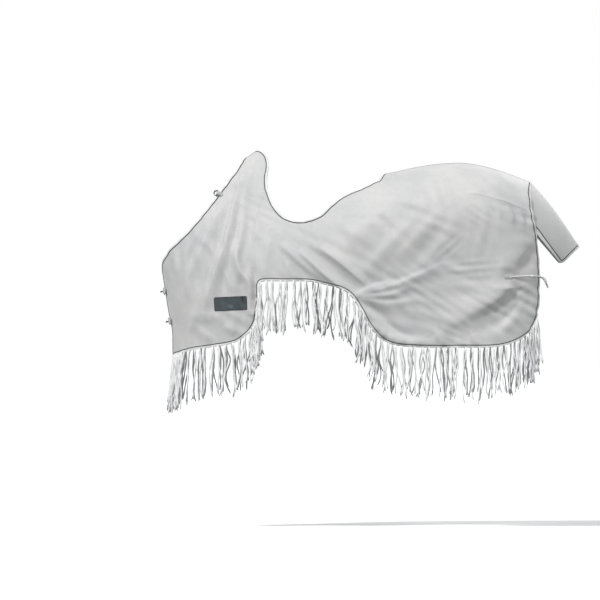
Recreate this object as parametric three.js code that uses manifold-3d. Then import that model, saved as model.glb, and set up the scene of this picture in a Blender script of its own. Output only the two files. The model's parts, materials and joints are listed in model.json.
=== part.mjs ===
// Riding fly sheet with a fringe, as it lies on a horse that faces -X.
// Millimetres, +Z up, +X towards the tail, left side at -Y. The origin is on the sheet's
// underside at the withers, on the centre line.
//
// Each half of the cloth lies on a barrel-shaped form. A place on the form is written as a
// pair [along, down]: millimetres back from the chest's centre line, and millimetres round
// the body from the spine. The outline, the tapes and the panels are drawn in that pair.
import * as THREE from 'three';
import { mergeVertices } from 'three/addons/utils/BufferGeometryUtils.js';
import Module from 'manifold-3d';

// ---- driving dimensions ----------------------------------------------------------------
const BACK_LENGTH = 1262;      // collar to dock, measured level
const SIDE_DEPTH = 900;        // withers to the front hem, measured upright
const BODY_WIDTH = 610;        // widest part of the sheet
const CHEST_ROUND = 300;       // how far back the chest takes to reach its full width
const CHEST_SLIT = 6;          // from the centre line to each chest edge

const CLOTH = 2.4;             // thickness of a panel with its hems
const GAP = 0.4;               // clearance between pieces that touch
const SEAM_HALF = 0.3;         // from the centre line or a seam to the cloth beside it
const BINDING = 9;             // visible width of the edge tape
const BINDING_THICK = 3;
const PIPING = 3.2;            // width of the cord sewn inside the tape
const PIPING_THICK = 4;
const SEAM_TAPE = 24;          // width of the tapes along the spine
const TAPE_THICK = 1.4;

const FRINGE_LENGTH = 222;
const FRINGE_THICK = 5;
const FRINGE_SPLIT = 6;        // gap between neighbouring bands of fringe

const FLAP_HALF_WIDTH = 96;    // of the tail flap at its free end
const FLAP_BULGE = 9;

const PATCH_LENGTH = 143;      // name patch
const PATCH_HEIGHT = 60;
const PATCH_THICK = 1.6;
const PATCH_LIFT = 0.9;        // clears the panel's facets

const WIRE = 3.4;              // hardware wire, across the plane of the ring
const WIRE_THICK = 3.2;
const CHEST_RING = [24, 34];   // length and width of a D ring, outside
const NECK_RING = [22, 28];
const NECK_RING_AT = [-130, -174];
const STRAP = 1.6;             // webbing thickness
const LOOP_INSIDE = 3.0;       // inner radius of the webbing folded round a bar
const BAR_PLAY = 0.4;          // how far a bar lies off its loop's middle
const CHEST_STRAP_WIDTH = 24;
const NECK_STRAP_WIDTH = 17;
const STRAP_FLAT = 21;         // sewn length of a strap
const HOOK_HALF = 3.4;         // half the thickness of the snap hook
const HOOK_WIRE = 3.0;
const HOOK_DEPTH = 22.8;       // how far the hook stands off the chest
const GATE_WIRE = 2.6;

const CORD = 5;                // tail cord
const CORD_TAB = [26, 18];

const LEFT = -1;
const RIGHT = 1;

// ---- the form --------------------------------------------------------------------------
const grade = ([x, z]) => [x * BACK_LENGTH / 1262, z * SIDE_DEPTH / 900];

// A smooth height over x through the given points, with straight ends.
function smooth(points) {
  const last = points.length - 1;
  const slopes = points.map((p, i) => {
    const a = points[Math.max(i - 1, 0)];
    const b = points[Math.min(i + 1, last)];
    return (b[1] - a[1]) / (b[0] - a[0]);
  });
  return (x) => {
    if (x <= points[0][0]) return points[0][1] + slopes[0] * (x - points[0][0]);
    if (x >= points[last][0]) return points[last][1] + slopes[last] * (x - points[last][0]);
    let i = 0;
    while (x > points[i + 1][0]) i += 1;
    const width = points[i + 1][0] - points[i][0];
    const t = (x - points[i][0]) / width;
    return (1 + 2 * t) * (1 - t) ** 2 * points[i][1] + t * (1 - t) ** 2 * width * slopes[i]
      + t * t * (3 - 2 * t) * points[i + 1][1] - t * t * (1 - t) * width * slopes[i + 1];
  };
}

const spine = smooth([[-440, -112], [-231, -66], [-130, -48], [-61, -35], [0, 0], [70, -12],
  [200, -75], [350, -125], [548, -104], [700, -72], [813, -57], [922, -57], [1053, -87],
  [1201, -144], [1300, -190]].map(grade));
// The spine without the rise of the withers, which fades out down the shoulder.
const backLine = smooth([[-440, -118], [-231, -82], [-61, -64], [70, -64], [200, -84],
  [350, -125], [548, -104], [700, -72], [813, -57], [922, -57], [1053, -87],
  [1201, -144], [1300, -190]].map(grade));
const WITHERS_FADE = 150;      // how far down the rise reaches
const fade = (down) => Math.exp(-((down / WITHERS_FADE) ** 2));
const topLine = (x, down) => backLine(x) + (spine(x) - backLine(x)) * fade(down);
const chestFront = smooth([[-1000, -372], [-826, -372], [-783, -374], [-696, -391],
  [-609, -405], [-557, -413], [-500, -422], [-380, -430], [-200, -432]]
  .map(([z, x]) => grade([x, z]).reverse()));
// Half the sheet's width along the back, as shares of the widest part's half.
const widths = smooth([[-430, 0.70], [-231, 0.76], [0, 0.82], [200, 0.94], [450, 1], [700, 0.985],
  [900, 0.955], [1050, 0.892], [1130, 0.807], [1200, 0.68], [1240, 0.58]]
  .map(([x, share]) => [grade([x, 0])[0], share * BODY_WIDTH / 2]));
const roundDepth = smooth([[-430, 560], [-231, 560], [0, 520], [300, 420], [600, 300],
  [900, 262], [1240, 250]].map(grade));
const roundPower = smooth([[-430, 1.5], [-231, 1.5], [0, 1.55], [300, 2], [600, 2.2],
  [850, 2.1], [1240, 2]].map(([x, power]) => [grade([x, 0])[0], power]));
const CHEST_POWER = 2.2;
const SLIT_CLOSES = CHEST_ROUND / 2;   // the chest edges' gap has closed this far back

const QUARTER = Math.PI / 2;
const turned = (length, radius) => (length < radius * QUARTER
  ? radius * (1 - Math.cos(length / radius)) : radius + length - radius * QUARTER);
const unturned = (depth, radius) => (depth < radius
  ? radius * Math.acos(1 - Math.max(depth, 0) / radius) : radius * QUARTER + depth - radius);
const swell = (length, radius, power) => (length < radius * QUARTER
  ? (1 - Math.cos(length / radius) ** power) ** (1 / power) : 1);

// The pair [along, down] of a place seen from the side at x, z.
function onForm([x, z]) {
  let down = 0;
  for (let round = 0; round < 60; round += 1) {
    down = (down + unturned(topLine(x, down) - z, roundDepth(x))) / 2;
  }
  return [unturned(x - chestFront(z), CHEST_ROUND), down < 0.01 ? 0 : down];
}

// The place in space of a pair, on the left half mirrored by side.
function bare([along, down], side) {
  let z = -down;
  let x = 0;
  for (let round = 0; round < 40; round += 1) {
    x = chestFront(z) + turned(along, CHEST_ROUND);
    z = topLine(x, down) - turned(down, roundDepth(x));
  }
  const open = Math.max(0, 1 - along / SLIT_CLOSES) ** 2;
  const slit = SEAM_HALF + (CHEST_SLIT - SEAM_HALF) * open;
  const out = widths(x) * swell(along, CHEST_ROUND, CHEST_POWER)
    * swell(down, roundDepth(x), roundPower(x));
  return new THREE.Vector3(x, side * (slit + out), z);
}

// Outward direction of the form at a pair.
function outward([along, down], side) {
  const step = 2;
  const a0 = Math.max(along - step, 0);
  const d0 = Math.max(down - step, 0);
  const back = bare([along + step, down], side).sub(bare([a0, down], side));
  const round = bare([along, down + step], side).sub(bare([along, d0], side));
  return back.cross(round).multiplyScalar(side).normalize();
}

const place = (pair, side, lift = 0) => bare(pair, side).addScaledVector(outward(pair, side), lift);

// ---- closed solids from grids ------------------------------------------------------------
const signedVolume = (geometry) => {
  const p = geometry.getAttribute('position');
  const index = geometry.getIndex();
  const v = [new THREE.Vector3(), new THREE.Vector3(), new THREE.Vector3()];
  let sum = 0;
  for (let i = 0; i < index.count; i += 3) {
    v.forEach((corner, k) => corner.fromBufferAttribute(p, index.getX(i + k)));
    sum += v[0].dot(v[1].clone().cross(v[2]));
  }
  return sum / 6;
};

// A slab between two grids of points of equal size, closed round its rim.
function slab(inner, outer) {
  const rows = inner.length;
  const cols = inner[0].length;
  const sheet = rows * cols;
  const positions = [...inner.flat(), ...outer.flat()].flatMap((p) => p.toArray());
  const faces = [];
  const quad = (a, b, c, d) => faces.push(a, b, c, a, c, d);
  for (let r = 0; r < rows - 1; r += 1) {
    for (let c = 0; c < cols - 1; c += 1) {
      const [i, j] = [r * cols + c, (r + 1) * cols + c];
      quad(i, i + 1, j + 1, j);
      quad(sheet + i, sheet + j, sheet + j + 1, sheet + i + 1);
    }
  }
  // Both long walls are split along the same diagonal, so slabs laid side by side stay clear.
  for (let c = 0; c < cols - 1; c += 1) {
    const last = (rows - 1) * cols + c;
    quad(c + 1, c, sheet + c, sheet + c + 1);
    quad(sheet + last, last, last + 1, sheet + last + 1);
  }
  for (let r = 0; r < rows - 1; r += 1) {
    const [i, j] = [r * cols, (r + 1) * cols];
    quad(i, j, sheet + j, sheet + i);
    quad(j + cols - 1, i + cols - 1, sheet + i + cols - 1, sheet + j + cols - 1);
  }
  const geometry = new THREE.BufferGeometry();
  geometry.setAttribute('position', new THREE.Float32BufferAttribute(positions, 3));
  geometry.setIndex(faces);
  if (signedVolume(geometry) < 0) geometry.setIndex(faces.reverse());
  geometry.computeVertexNormals();
  return geometry;
}

// Cloth lying on the form: a slab over a grid of pairs, from one lift to another.
const laid = (grid, side, low, high) => slab(
  grid.map((row) => row.map((pair) => place(pair, side, low))),
  grid.map((row) => row.map((pair) => place(pair, side, high))),
);

// ---- drawing in pairs --------------------------------------------------------------------
const mix = (a, b, t) => [a[0] + (b[0] - a[0]) * t, a[1] + (b[1] - a[1]) * t];

// A smooth run of pairs through side-view points, short of each end by a trim. Its steps are
// equal, or closer together near the start where crowd is over 1.
function run(points, steps, trimStart = 0, trimEnd = 0, crowd = 1) {
  const curve = new THREE.CatmullRomCurve3(
    points.map((p) => new THREE.Vector3(...onForm(grade(p)), 0)), false, 'centripetal');
  const length = curve.getLength();
  return Array.from({ length: steps + 1 }, (_, i) => {
    const share = (i / steps) ** crowd;
    const t = (trimStart + (length - trimStart - trimEnd) * share) / length;
    const p = curve.getPointAt(Math.min(Math.max(t, 0), 1));
    return [p.x, p.y];
  });
}

// The middle of a rounded corner between two runs whose ends stop short of the corner.
const cornerMiddle = (before, corner, after) =>
  mix(mix(before, corner, 0.5), mix(corner, after, 0.5), 0.5);

// Pairs moved off a line by a width measured on the cloth. An end that meets the spine
// slides along it.
function offset(line, width, closedEnds = [false, false]) {
  return line.map((p, i) => {
    const a = line[Math.max(i - 1, 0)];
    const b = line[Math.min(i + 1, line.length - 1)];
    const onwards = Math.atan2(b[1] - p[1], b[0] - p[0]);
    const before = i > 0 ? Math.atan2(p[1] - a[1], p[0] - a[0]) : onwards;
    const after = i < line.length - 1 ? onwards : before;
    const bend = Math.atan2(Math.sin(after - before), Math.cos(after - before)) / 2;
    let way = [Math.sin(before + bend), -Math.cos(before + bend)];
    let slant = Math.cos(bend);
    if ((i === 0 && closedEnds[0]) || (i === line.length - 1 && closedEnds[1])) {
      slant = Math.abs(way[0]);
      way = [Math.sign(way[0]), 0];
    }
    const probe = [Math.max(p[0] + way[0], 0), Math.max(p[1] + way[1], 0)];
    const probeLength = Math.hypot(probe[0] - p[0], probe[1] - p[1]) || 1;
    const stretch = bare(probe, LEFT).distanceTo(bare(p, LEFT)) / probeLength || 1;
    const reach = width / slant / stretch;
    return [Math.max(p[0] + way[0] * reach, 0), Math.max(p[1] + way[1] * reach, 0)];
  });
}

// A grid filled between four lines: top and bottom run rearwards, front and rear run down.
function filled(top, bottom, front, rear) {
  const cols = top.length - 1;
  const rows = front.length - 1;
  return front.map((_, r) => top.map((__, c) => {
    const u = c / cols;
    const v = r / rows;
    const between = mix(top[c], bottom[c], v);
    const across = mix(front[r], rear[r], u);
    const flat = mix(mix(top[0], top[cols], u), mix(bottom[0], bottom[cols], u), v);
    return [between[0] + across[0] - flat[0], between[1] + across[1] - flat[1]];
  }));
}

// ---- outline ---------------------------------------------------------------------------
const CHEST_CORNER = 18;       // corner roundings, in the pair's millimetres
const HEM_CORNER = 16;
const STEP_CORNER = 34;
const ARM_CORNER = 20;

const COLLAR = [-61, -35];
const CHEST_TOP = [-422, -518];
const CHEST_FOOT = [-374, -900];
const STEP_FOOT = [-8, -752];
const STEP_HEAD = [2, -572];
const NECK = [COLLAR, [-100, -87], [-165, -174], [-231, -261], [-296, -339], [-348, -392],
  [-391, -435], [-412, -470], CHEST_TOP];
const CHEST = [CHEST_TOP, [-413, -557], [-405, -609], [-391, -696], [-374, -783], CHEST_FOOT];
const FRONT_HEM = [CHEST_FOOT, [-339, -886], [-296, -873], [-196, -857], [-100, -838],
  [-48, -803], STEP_FOOT];
const STEP = [STEP_FOOT, [4, -652], STEP_HEAD];
const LONG_HEM = [STEP_HEAD, [100, -570], [183, -570], [270, -579], [357, -602], [404, -632],
  [448, -696], [485, -765], [531, -818], [574, -843], [635, -855], [735, -860], [835, -861],
  [945, -860], [1053, -855], [1131, -831], [1183, -796], [1213, -745]];
const REAR = [[1213, -745], [1226, -680], [1230, -580], [1227, -479], [1214, -362]];
const DOCK = [[1214, -362], [1197, -283], [1190, -218], [1201, -144]];
const CUT_OUT_FRONT = [[0, 0], [36, -22], [46, -62], [38, -122], [40, -165]];
const CUT_OUT_BACK = [[40, -165], [70, -240], [117, -290], [183, -308], [261, -287],
  [318, -238], [365, -203], [425, -176], [485, -152], [527, -129], [548, -104]];
const FLAP_STATIONS = 6;       // of the rear edge on each side of the dock
const NECK_STEPS = 14;
const CHEST_STEPS = 7;
const CUT_FRONT_STEPS = 4;
const STEP_STEPS = 3;
// The seam and the rear edge face the front edge across the panels, so they share its count.
const SEAM_STEPS = NECK_STEPS + CHEST_STEPS + 1 - CUT_FRONT_STEPS - STEP_STEPS;
const REAR_STEPS = SEAM_STEPS - FLAP_STATIONS;
const COLLAR_CROWD = 1.6;      // the withers are narrow, so the collar bends most at its top

// The free edge, from the collar's centre down the chest, along the hem and up to the dock.
// Every line set off from it keeps its numbering, so the stations below serve all of them.
const neckRun = run(NECK, NECK_STEPS, 0, CHEST_CORNER, COLLAR_CROWD);
const chestRun = run(CHEST, CHEST_STEPS, CHEST_CORNER, HEM_CORNER);
const frontHemRun = run(FRONT_HEM, 8, HEM_CORNER, STEP_CORNER);
const stepRun = run(STEP, STEP_STEPS, STEP_CORNER, ARM_CORNER);
const longHemRun = run(LONG_HEM, 27, ARM_CORNER, 0);
const rearRun = [...run(REAR, REAR_STEPS), ...run(DOCK, FLAP_STATIONS).slice(1)];
const corners = [CHEST_TOP, CHEST_FOOT, STEP_FOOT, STEP_HEAD].map((p) => onForm(grade(p)));
const turn = (before, corner, after) => cornerMiddle(before[before.length - 1], corner, after[0]);
const edge = [
  ...neckRun, turn(neckRun, corners[0], chestRun),
  ...chestRun, turn(chestRun, corners[1], frontHemRun),
  ...frontHemRun, turn(frontHemRun, corners[2], stepRun),
  ...stepRun, turn(stepRun, corners[3], longHemRun),
  ...longHemRun, ...rearRun.slice(1),
];
const chestTopAt = neckRun.length;
const chestFootAt = chestTopAt + chestRun.length + 1;
const stepFootAt = chestFootAt + frontHemRun.length + 1;
const stepHeadAt = stepFootAt + stepRun.length + 1;
const rearCornerAt = stepHeadAt + longHemRun.length;
const dockAt = edge.length - 1;

// Widths are counted inwards from the rim: the tape first, then the piping, then the panel.
const PIPING_FROM = BINDING + GAP;
const PIPING_TO = PIPING_FROM + PIPING;
const PANEL_FROM = PIPING_TO + GAP;
const inset = (width) => offset(edge, width, [true, true]);
const edgeLines = {
  outside: inset(-GAP),
  rim: inset(0),
  tape: inset(BINDING),
  pipingOut: inset(PIPING_FROM),
  pipingIn: inset(PIPING_TO),
  panel: inset(PANEL_FROM),
};

// The saddle cut-out, from its front end on the spine to its rear end on the spine.
const cutFront = run(CUT_OUT_FRONT, CUT_FRONT_STEPS);
const cutBack = run(CUT_OUT_BACK, 15);
const seamHeadAt = cutFront.length - 1;
const cutOut = [...cutFront, ...cutBack.slice(1)];
const cutLine = (width) => offset(cutOut, -width, [true, true]);
const cutLines = {
  rim: cutLine(0),
  tape: cutLine(BINDING),
  pipingOut: cutLine(PIPING_FROM),
  pipingIn: cutLine(PIPING_TO),
  panel: cutLine(PANEL_FROM),
};

// The shoulder seam, from the cut-out down to the corner above the step in the hem.
const seamBulge = onForm(grade([-19, -352]));
const seamHead = cutLines.panel[seamHeadAt];
const seamFoot = edgeLines.panel[stepHeadAt];
const seamCurve = new THREE.CatmullRomCurve3(
  [seamHead, seamBulge, seamFoot].map((p) => new THREE.Vector3(...p, 0)), false, 'centripetal');
const seam = seamCurve.getSpacedPoints(SEAM_STEPS).map((p) => [p.x, p.y]);
const seamSide = (shift) => seam.map(([along, down]) => [along + shift, down]);

const between = (a, b, steps) => Array.from({ length: steps + 1 }, (_, i) => mix(a, b, i / steps));
const part = (line, from, to) => line.slice(from, to + 1);
const joined = (...lines) => lines.flatMap((line, i) => (i ? line.slice(1) : line));

const shoulderFront = part(edgeLines.panel, 0, chestFootAt);
const shoulderHem = part(edgeLines.panel, chestFootAt, stepFootAt);
const stepPanel = part(edgeLines.panel, stepFootAt, stepHeadAt).reverse();
const shoulderBack = joined(part(cutLines.panel, 0, seamHeadAt), seam, stepPanel)
  .map(([along, down], i) => [along - (i < seamHeadAt + SEAM_STEPS ? SEAM_HALF : 0), down]);
const shoulderTop = between(shoulderFront[0], shoulderBack[0], shoulderHem.length - 1);
const shoulderGrid = filled(shoulderTop, shoulderHem, shoulderFront, shoulderBack);

const bodyHem = part(edgeLines.panel, stepHeadAt, rearCornerAt);
const bodyRear = part(edgeLines.panel, rearCornerAt, dockAt).reverse();
const backRidge = between(cutLines.panel[cutOut.length - 1], edgeLines.panel[dockAt],
  bodyHem.length - 1 - (cutOut.length - 1 - seamHeadAt));
const bodyTop = joined(part(cutLines.panel, seamHeadAt, cutOut.length - 1), backRidge);
const bodyFront = seamSide(SEAM_HALF);
bodyTop[0] = bodyFront[0];
bodyHem[0] = bodyFront[bodyFront.length - 1];
const bodyGrid = filled(bodyTop, bodyHem, bodyFront, bodyRear);

// ---- materials and naming ----------------------------------------------------------------
const paint = (color, roughness, metalness = 0) => ({ color, roughness, metalness });
const MESH_CLOTH = paint(0xd2d2d2, 0.85);
const PALE_TAPE = paint(0xdcdcda, 0.7);
const DARK_CORD = paint(0x4a4c4f, 0.8);
const FRINGE = paint(0xdededc, 0.9);
const PATCH = paint(0x4a565e, 0.75);
const WEBBING = paint(0xcfcfcd, 0.8);
const GUNMETAL = paint(0x3a3c3f, 0.35, 0.9);

const sheet = new THREE.Group();

function add(name, geometry, finish, group = sheet) {
  const mesh = new THREE.Mesh(geometry, new THREE.MeshStandardMaterial(finish));
  mesh.name = name;
  group.add(mesh);
  return mesh;
}

const sides = [['left', LEFT], ['right', RIGHT]];

// ---- cloth, tapes and piping -------------------------------------------------------------
function addPanels() {
  for (const [name, side] of sides) {
    add(`shoulder_panel_${name}`, laid(shoulderGrid, side, 0, CLOTH), MESH_CLOTH);
    add(`body_panel_${name}`, laid(bodyGrid, side, 0, CLOTH), MESH_CLOTH);
  }
}

// One stretch of an edge gets its tape and its piping, between two stations.
function addEdging(stretch, lines, from, to) {
  for (const [name, side] of sides) {
    const tape = [part(lines.rim, from, to), part(lines.tape, from, to)];
    const cord = [part(lines.pipingOut, from, to), part(lines.pipingIn, from, to)];
    add(`${stretch}_binding_${name}`, laid(tape, side, 0, BINDING_THICK), PALE_TAPE);
    add(`${stretch}_piping_${name}`, laid(cord, side, 0, PIPING_THICK), DARK_CORD);
  }
}

// Neighbouring stretches stop short of each other by the clearance.
function cutShort(lines, at, towards) {
  for (const line of Object.values(lines)) {
    const next = line[at + towards];
    const t = SEAM_HALF / Math.hypot(next[0] - line[at][0], next[1] - line[at][1]);
    line[at] = mix(line[at], next, t);
  }
}

function addEdgings() {
  const stops = [0, chestTopAt, chestFootAt, rearCornerAt, dockAt];
  ['neck', 'chest', 'hem', 'rear'].forEach((stretch, i) => {
    const lines = Object.fromEntries(Object.entries(edgeLines).map(([k, v]) => [k, [...v]]));
    if (i > 0) cutShort(lines, stops[i], 1);
    if (i < 3) cutShort(lines, stops[i + 1], -1);
    addEdging(stretch, lines, stops[i], stops[i + 1]);
  });
  addEdging('cutout', cutLines, 0, cutOut.length - 1);
}

// A tape over the centre seam, lying on both panels. It ends short of the edges' piping.
const TAPE_SHORT = 2.5;

function addSpineTape(name, ridge) {
  const line = [...ridge];
  line[0] = [line[0][0] + TAPE_SHORT, line[0][1]];
  line[line.length - 1] = [line[line.length - 1][0] - TAPE_SHORT, line[line.length - 1][1]];
  const half = SEAM_TAPE / 2;
  const lift = CLOTH + GAP;
  const rows = (height) => line.map(([along]) => [
    place([along, half], LEFT, height),
    place([along, 0], LEFT, height).setY(0),
    place([along, half], RIGHT, height),
  ]);
  add(name, slab(rows(lift), rows(lift + TAPE_THICK)), PALE_TAPE);
}

function addPatch() {
  const [along, down] = onForm(grade([-119, -668]));
  const grid = between(-PATCH_HEIGHT / 2, PATCH_HEIGHT / 2, 2).map((_, r) => between([0, 0], [1, 0], 5)
    .map(([t]) => [along + (t - 0.5) * PATCH_LENGTH, down + (r / 2 - 0.5) * PATCH_HEIGHT]));
  const low = CLOTH + PATCH_LIFT;
  add('name_patch', laid(grid, LEFT, low, low + PATCH_THICK), PATCH);
}

// ---- tail flap ---------------------------------------------------------------------------
// Ruled from the rear edge, between its two lower ends over the dock, to an arched free end.
const FLAP_STEPS = 6;
const flapTip = grade([1405, -422]);
const flapCorner = grade([1326, -497]);
const flapHalfRoot = part(edgeLines.outside, dockAt - FLAP_STATIONS, dockAt);
const flapRoot = [
  ...flapHalfRoot.slice(0, -1).map((p) => bare(p, LEFT)),
  bare(flapHalfRoot[FLAP_STATIONS], LEFT).setY(0),
  ...flapHalfRoot.slice(0, -1).reverse().map((p) => bare(p, RIGHT)),
];
const rootShift = new THREE.Vector3(GAP, 0, 0);
const lastRoot = flapRoot.length - 1;

// share across runs from -1 at the left lower edge to 1 at the right, share out from 0 to 1.
function flapPoint(across, out) {
  const station = (across + 1) / 2 * lastRoot;
  const i = Math.min(Math.floor(station), lastRoot - 1);
  const root = flapRoot[i].clone().lerp(flapRoot[i + 1], station - i).add(rootShift);
  const angle = across * QUARTER;
  const end = new THREE.Vector3(
    flapCorner[0] + (flapTip[0] - flapCorner[0]) * Math.cos(angle),
    FLAP_HALF_WIDTH * Math.sin(angle),
    flapCorner[1] + (flapTip[1] - flapCorner[1]) * Math.cos(angle));
  const bulge = FLAP_BULGE * Math.sin(Math.PI * out);
  const away = new THREE.Vector3(0.7 * Math.cos(angle), Math.sin(angle), 0.7 * Math.cos(angle));
  return root.lerp(end, out).addScaledVector(away, bulge);
}

function flapPlace([across, out], lift) {
  const step = 0.02;
  const a = flapPoint(Math.min(across + step, 1), out)
    .sub(flapPoint(Math.max(across - step, -1), out));
  const o = flapPoint(across, Math.min(out + step, 1))
    .sub(flapPoint(across, Math.max(out - step, 0)));
  return flapPoint(across, out).addScaledVector(o.cross(a).normalize(), lift);
}

const flapSpan = (out) => {
  const line = between([-1, 0], [1, 0], 16).map(([t]) => flapPoint(t, out));
  return line.slice(1).reduce((sum, p, i) => sum + p.distanceTo(line[i]), 0) / 2;
};
const flapReach = (across) => flapPoint(across, 0).distanceTo(flapPoint(across, 1));

// The flap's shares with a margin taken off its two lower edges and its free end.
function flapInset([across, out], width) {
  const furthest = 1 - width / flapReach(across);
  const outShare = Math.min(out, furthest);
  const most = 1 - width / flapSpan(outShare);
  return [Math.min(Math.max(across, -most), most), outShare];
}

const flapSlab = (grid, low, high) => slab(
  grid.map((row) => row.map((pair) => flapPlace(pair, low))),
  grid.map((row) => row.map((pair) => flapPlace(pair, high))));

function addTailFlap() {
  const acrossSteps = 2 * FLAP_STATIONS;
  const row = (out) => between([-1, 0], [1, 0], acrossSteps).map(([t]) => {
    const outShare = out * (1 - PANEL_FROM / flapReach(t));
    return [t * (1 - PANEL_FROM / flapSpan(outShare)), outShare];
  });
  const grid = between([0, 0], [0, 1], FLAP_STEPS).map(([, out]) => row(out));
  add('tail_flap', flapSlab(grid, 0, CLOTH), MESH_CLOTH);
  const border = joined(
    between([-1, 0], [-1, 1], FLAP_STEPS), between([-1, 1], [1, 1], acrossSteps),
    between([1, 1], [1, 0], FLAP_STEPS));
  const ring = (from, to, thick) => flapSlab(
    [from, to].map((width) => border.map((pair) => flapInset(pair, width))), 0, thick);
  add('tail_flap_binding', ring(0, BINDING, BINDING_THICK), PALE_TAPE);
  add('tail_flap_piping', ring(PIPING_FROM, PIPING_TO, PIPING_THICK), DARK_CORD);
}

// ---- fringe ------------------------------------------------------------------------------
// A band of cords hangs straight down from its stretch of the hem. Its outer face stands
// a little proud of the tape.
const FRINGE_PROUD = 1;
function addFringeBand(name, from, to) {
  const line = part(edgeLines.outside, from, to);
  const trim = (a, b) => mix(a, b, FRINGE_SPLIT / 2 / Math.hypot(b[0] - a[0], b[1] - a[1]));
  line[0] = trim(line[0], line[1]);
  line[line.length - 1] = trim(line[line.length - 1], line[line.length - 2]);
  for (const [sideName, side] of sides) {
    const top = line.map((pair) => bare(pair, side));
    const level = top.map((p, i) => {
      const along = top[Math.min(i + 1, top.length - 1)].clone().sub(top[Math.max(i - 1, 0)]);
      return new THREE.Vector3(along.y, -along.x, 0).multiplyScalar(-side).normalize();
    });
    const row = (lift, drop) => top.map((p, i) => p.clone()
      .addScaledVector(level[i], lift).add(new THREE.Vector3(0, 0, -drop)));
    const outer = BINDING_THICK + FRINGE_PROUD;
    const inner = outer - FRINGE_THICK;
    const slabRows = (lift) => [row(lift, 0), row(lift, FRINGE_LENGTH)];
    add(`fringe_${name}_${sideName}`, slab(slabRows(inner), slabRows(outer)), FRINGE);
  }
}

function addFringe() {
  addFringeBand('chest', chestFootAt + 1, chestFootAt + 4);
  addFringeBand('shoulder', chestFootAt + 4, stepFootAt - 1);
  addFringeBand('girth', stepHeadAt + 1, stepHeadAt + 9);
  addFringeBand('slant', stepHeadAt + 9, stepHeadAt + 14);
  addFringeBand('flank', stepHeadAt + 14, stepHeadAt + 22);
  addFringeBand('rear', stepHeadAt + 22, rearCornerAt - 1);
}

// ---- straps, rings and hooks -------------------------------------------------------------
// The outline of a bar of even thickness along a bent line, both drawn in one plane.
function bent(line, thickness) {
  const half = thickness / 2;
  const side = (sign) => line.map(([x, y], i) => {
    const a = line[Math.max(i - 1, 0)];
    const b = line[Math.min(i + 1, line.length - 1)];
    const way = new THREE.Vector2(b[0] - a[0], b[1] - a[1]).normalize();
    return new THREE.Vector2(x - sign * way.y * half, y + sign * way.x * half);
  });
  return new THREE.Shape([...side(1), ...side(-1).reverse()]);
}

const arc = (x, y, radius, from, to, steps) => between([from, 0], [to, 0], steps)
  .map(([angle]) => [x + radius * Math.cos(angle), y + radius * Math.sin(angle)]);

// An upright profile drawn in the plane of pull and lift, widened equally to both sides.
const widened = (shape, width) => new THREE.ExtrudeGeometry(shape,
  { depth: width, bevelEnabled: false, curveSegments: 6 })
  .translate(0, 0, -width / 2).rotateX(QUARTER);

const LOOP_MIDDLE = LOOP_INSIDE + STRAP / 2;
const STRAP_BASE = PIPING_THICK + GAP;                 // underside of a strap over an edge
const BAR_LIFT = STRAP_BASE + STRAP + LOOP_INSIDE;     // middle of a bar in a loop
const FOLD_FROM = -1.25 * QUARTER;                     // the loop's arc round the bar
const FOLD_TO = -3.4 * QUARTER;
const FOLD_EASE = 1.5;                                 // from the arc to the turned-back end
const FOLD_BACK = 0.6;                                 // turned-back share of the sewn length

// A strap sewn flat at the positive end, folded round a bar near zero and back onto itself.
function strapGeometry(width) {
  const flat = STRAP_BASE + STRAP / 2;
  const line = [[STRAP_FLAT, flat], [0, flat],
    ...arc(0, BAR_LIFT, LOOP_MIDDLE, FOLD_FROM, FOLD_TO, 9),
    [LOOP_MIDDLE + FOLD_EASE, flat + STRAP + 2 * GAP],
    [STRAP_FLAT * FOLD_BACK, flat + STRAP + GAP]];
  return widened(bent(line, STRAP), width);
}

// A D ring lying flat: its straight bar crosses x = 0 and its bow reaches towards -x.
function ringGeometry([length, width]) {
  const outline = (margin) => {
    const half = width / 2 - margin;
    const bow = length - WIRE / 2 - half - margin;
    const shape = new THREE.Shape();
    shape.moveTo(WIRE / 2 - margin, -half);
    shape.lineTo(WIRE / 2 - margin, half);
    shape.lineTo(-Math.max(bow, 0), half);
    shape.absellipse(-Math.max(bow, 0), 0, length - WIRE / 2 - margin - Math.max(bow, 0), half,
      QUARTER, 3 * QUARTER, false);
    shape.lineTo(WIRE / 2 - margin, -half);
    return shape;
  };
  const shape = outline(0);
  shape.holes.push(new THREE.Path(outline(WIRE).getPoints(10).reverse()));
  return new THREE.ExtrudeGeometry(shape,
    { depth: WIRE_THICK, bevelEnabled: false, curveSegments: 10 })
    .translate(-BAR_PLAY, 0, BAR_LIFT - WIRE_THICK / 2);
}

const wasm = await Module();
wasm.setup();

function toSolid(geometry) {
  const bareGeometry = geometry.clone().deleteAttribute('normal').deleteAttribute('uv');
  const merged = mergeVertices(bareGeometry, 1e-4);
  return new wasm.Manifold(new wasm.Mesh({
    numProp: 3,
    vertProperties: new Float32Array(merged.getAttribute('position').array),
    triVerts: new Uint32Array(merged.getIndex().array),
  }));
}

function fused(...geometries) {
  const mesh = geometries.map(toSolid).reduce((a, b) => a.add(b)).getMesh();
  const geometry = new THREE.BufferGeometry();
  geometry.setAttribute('position', new THREE.Float32BufferAttribute(mesh.vertProperties, 3));
  geometry.setIndex([...mesh.triVerts]);
  geometry.computeVertexNormals();
  return geometry;
}

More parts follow.
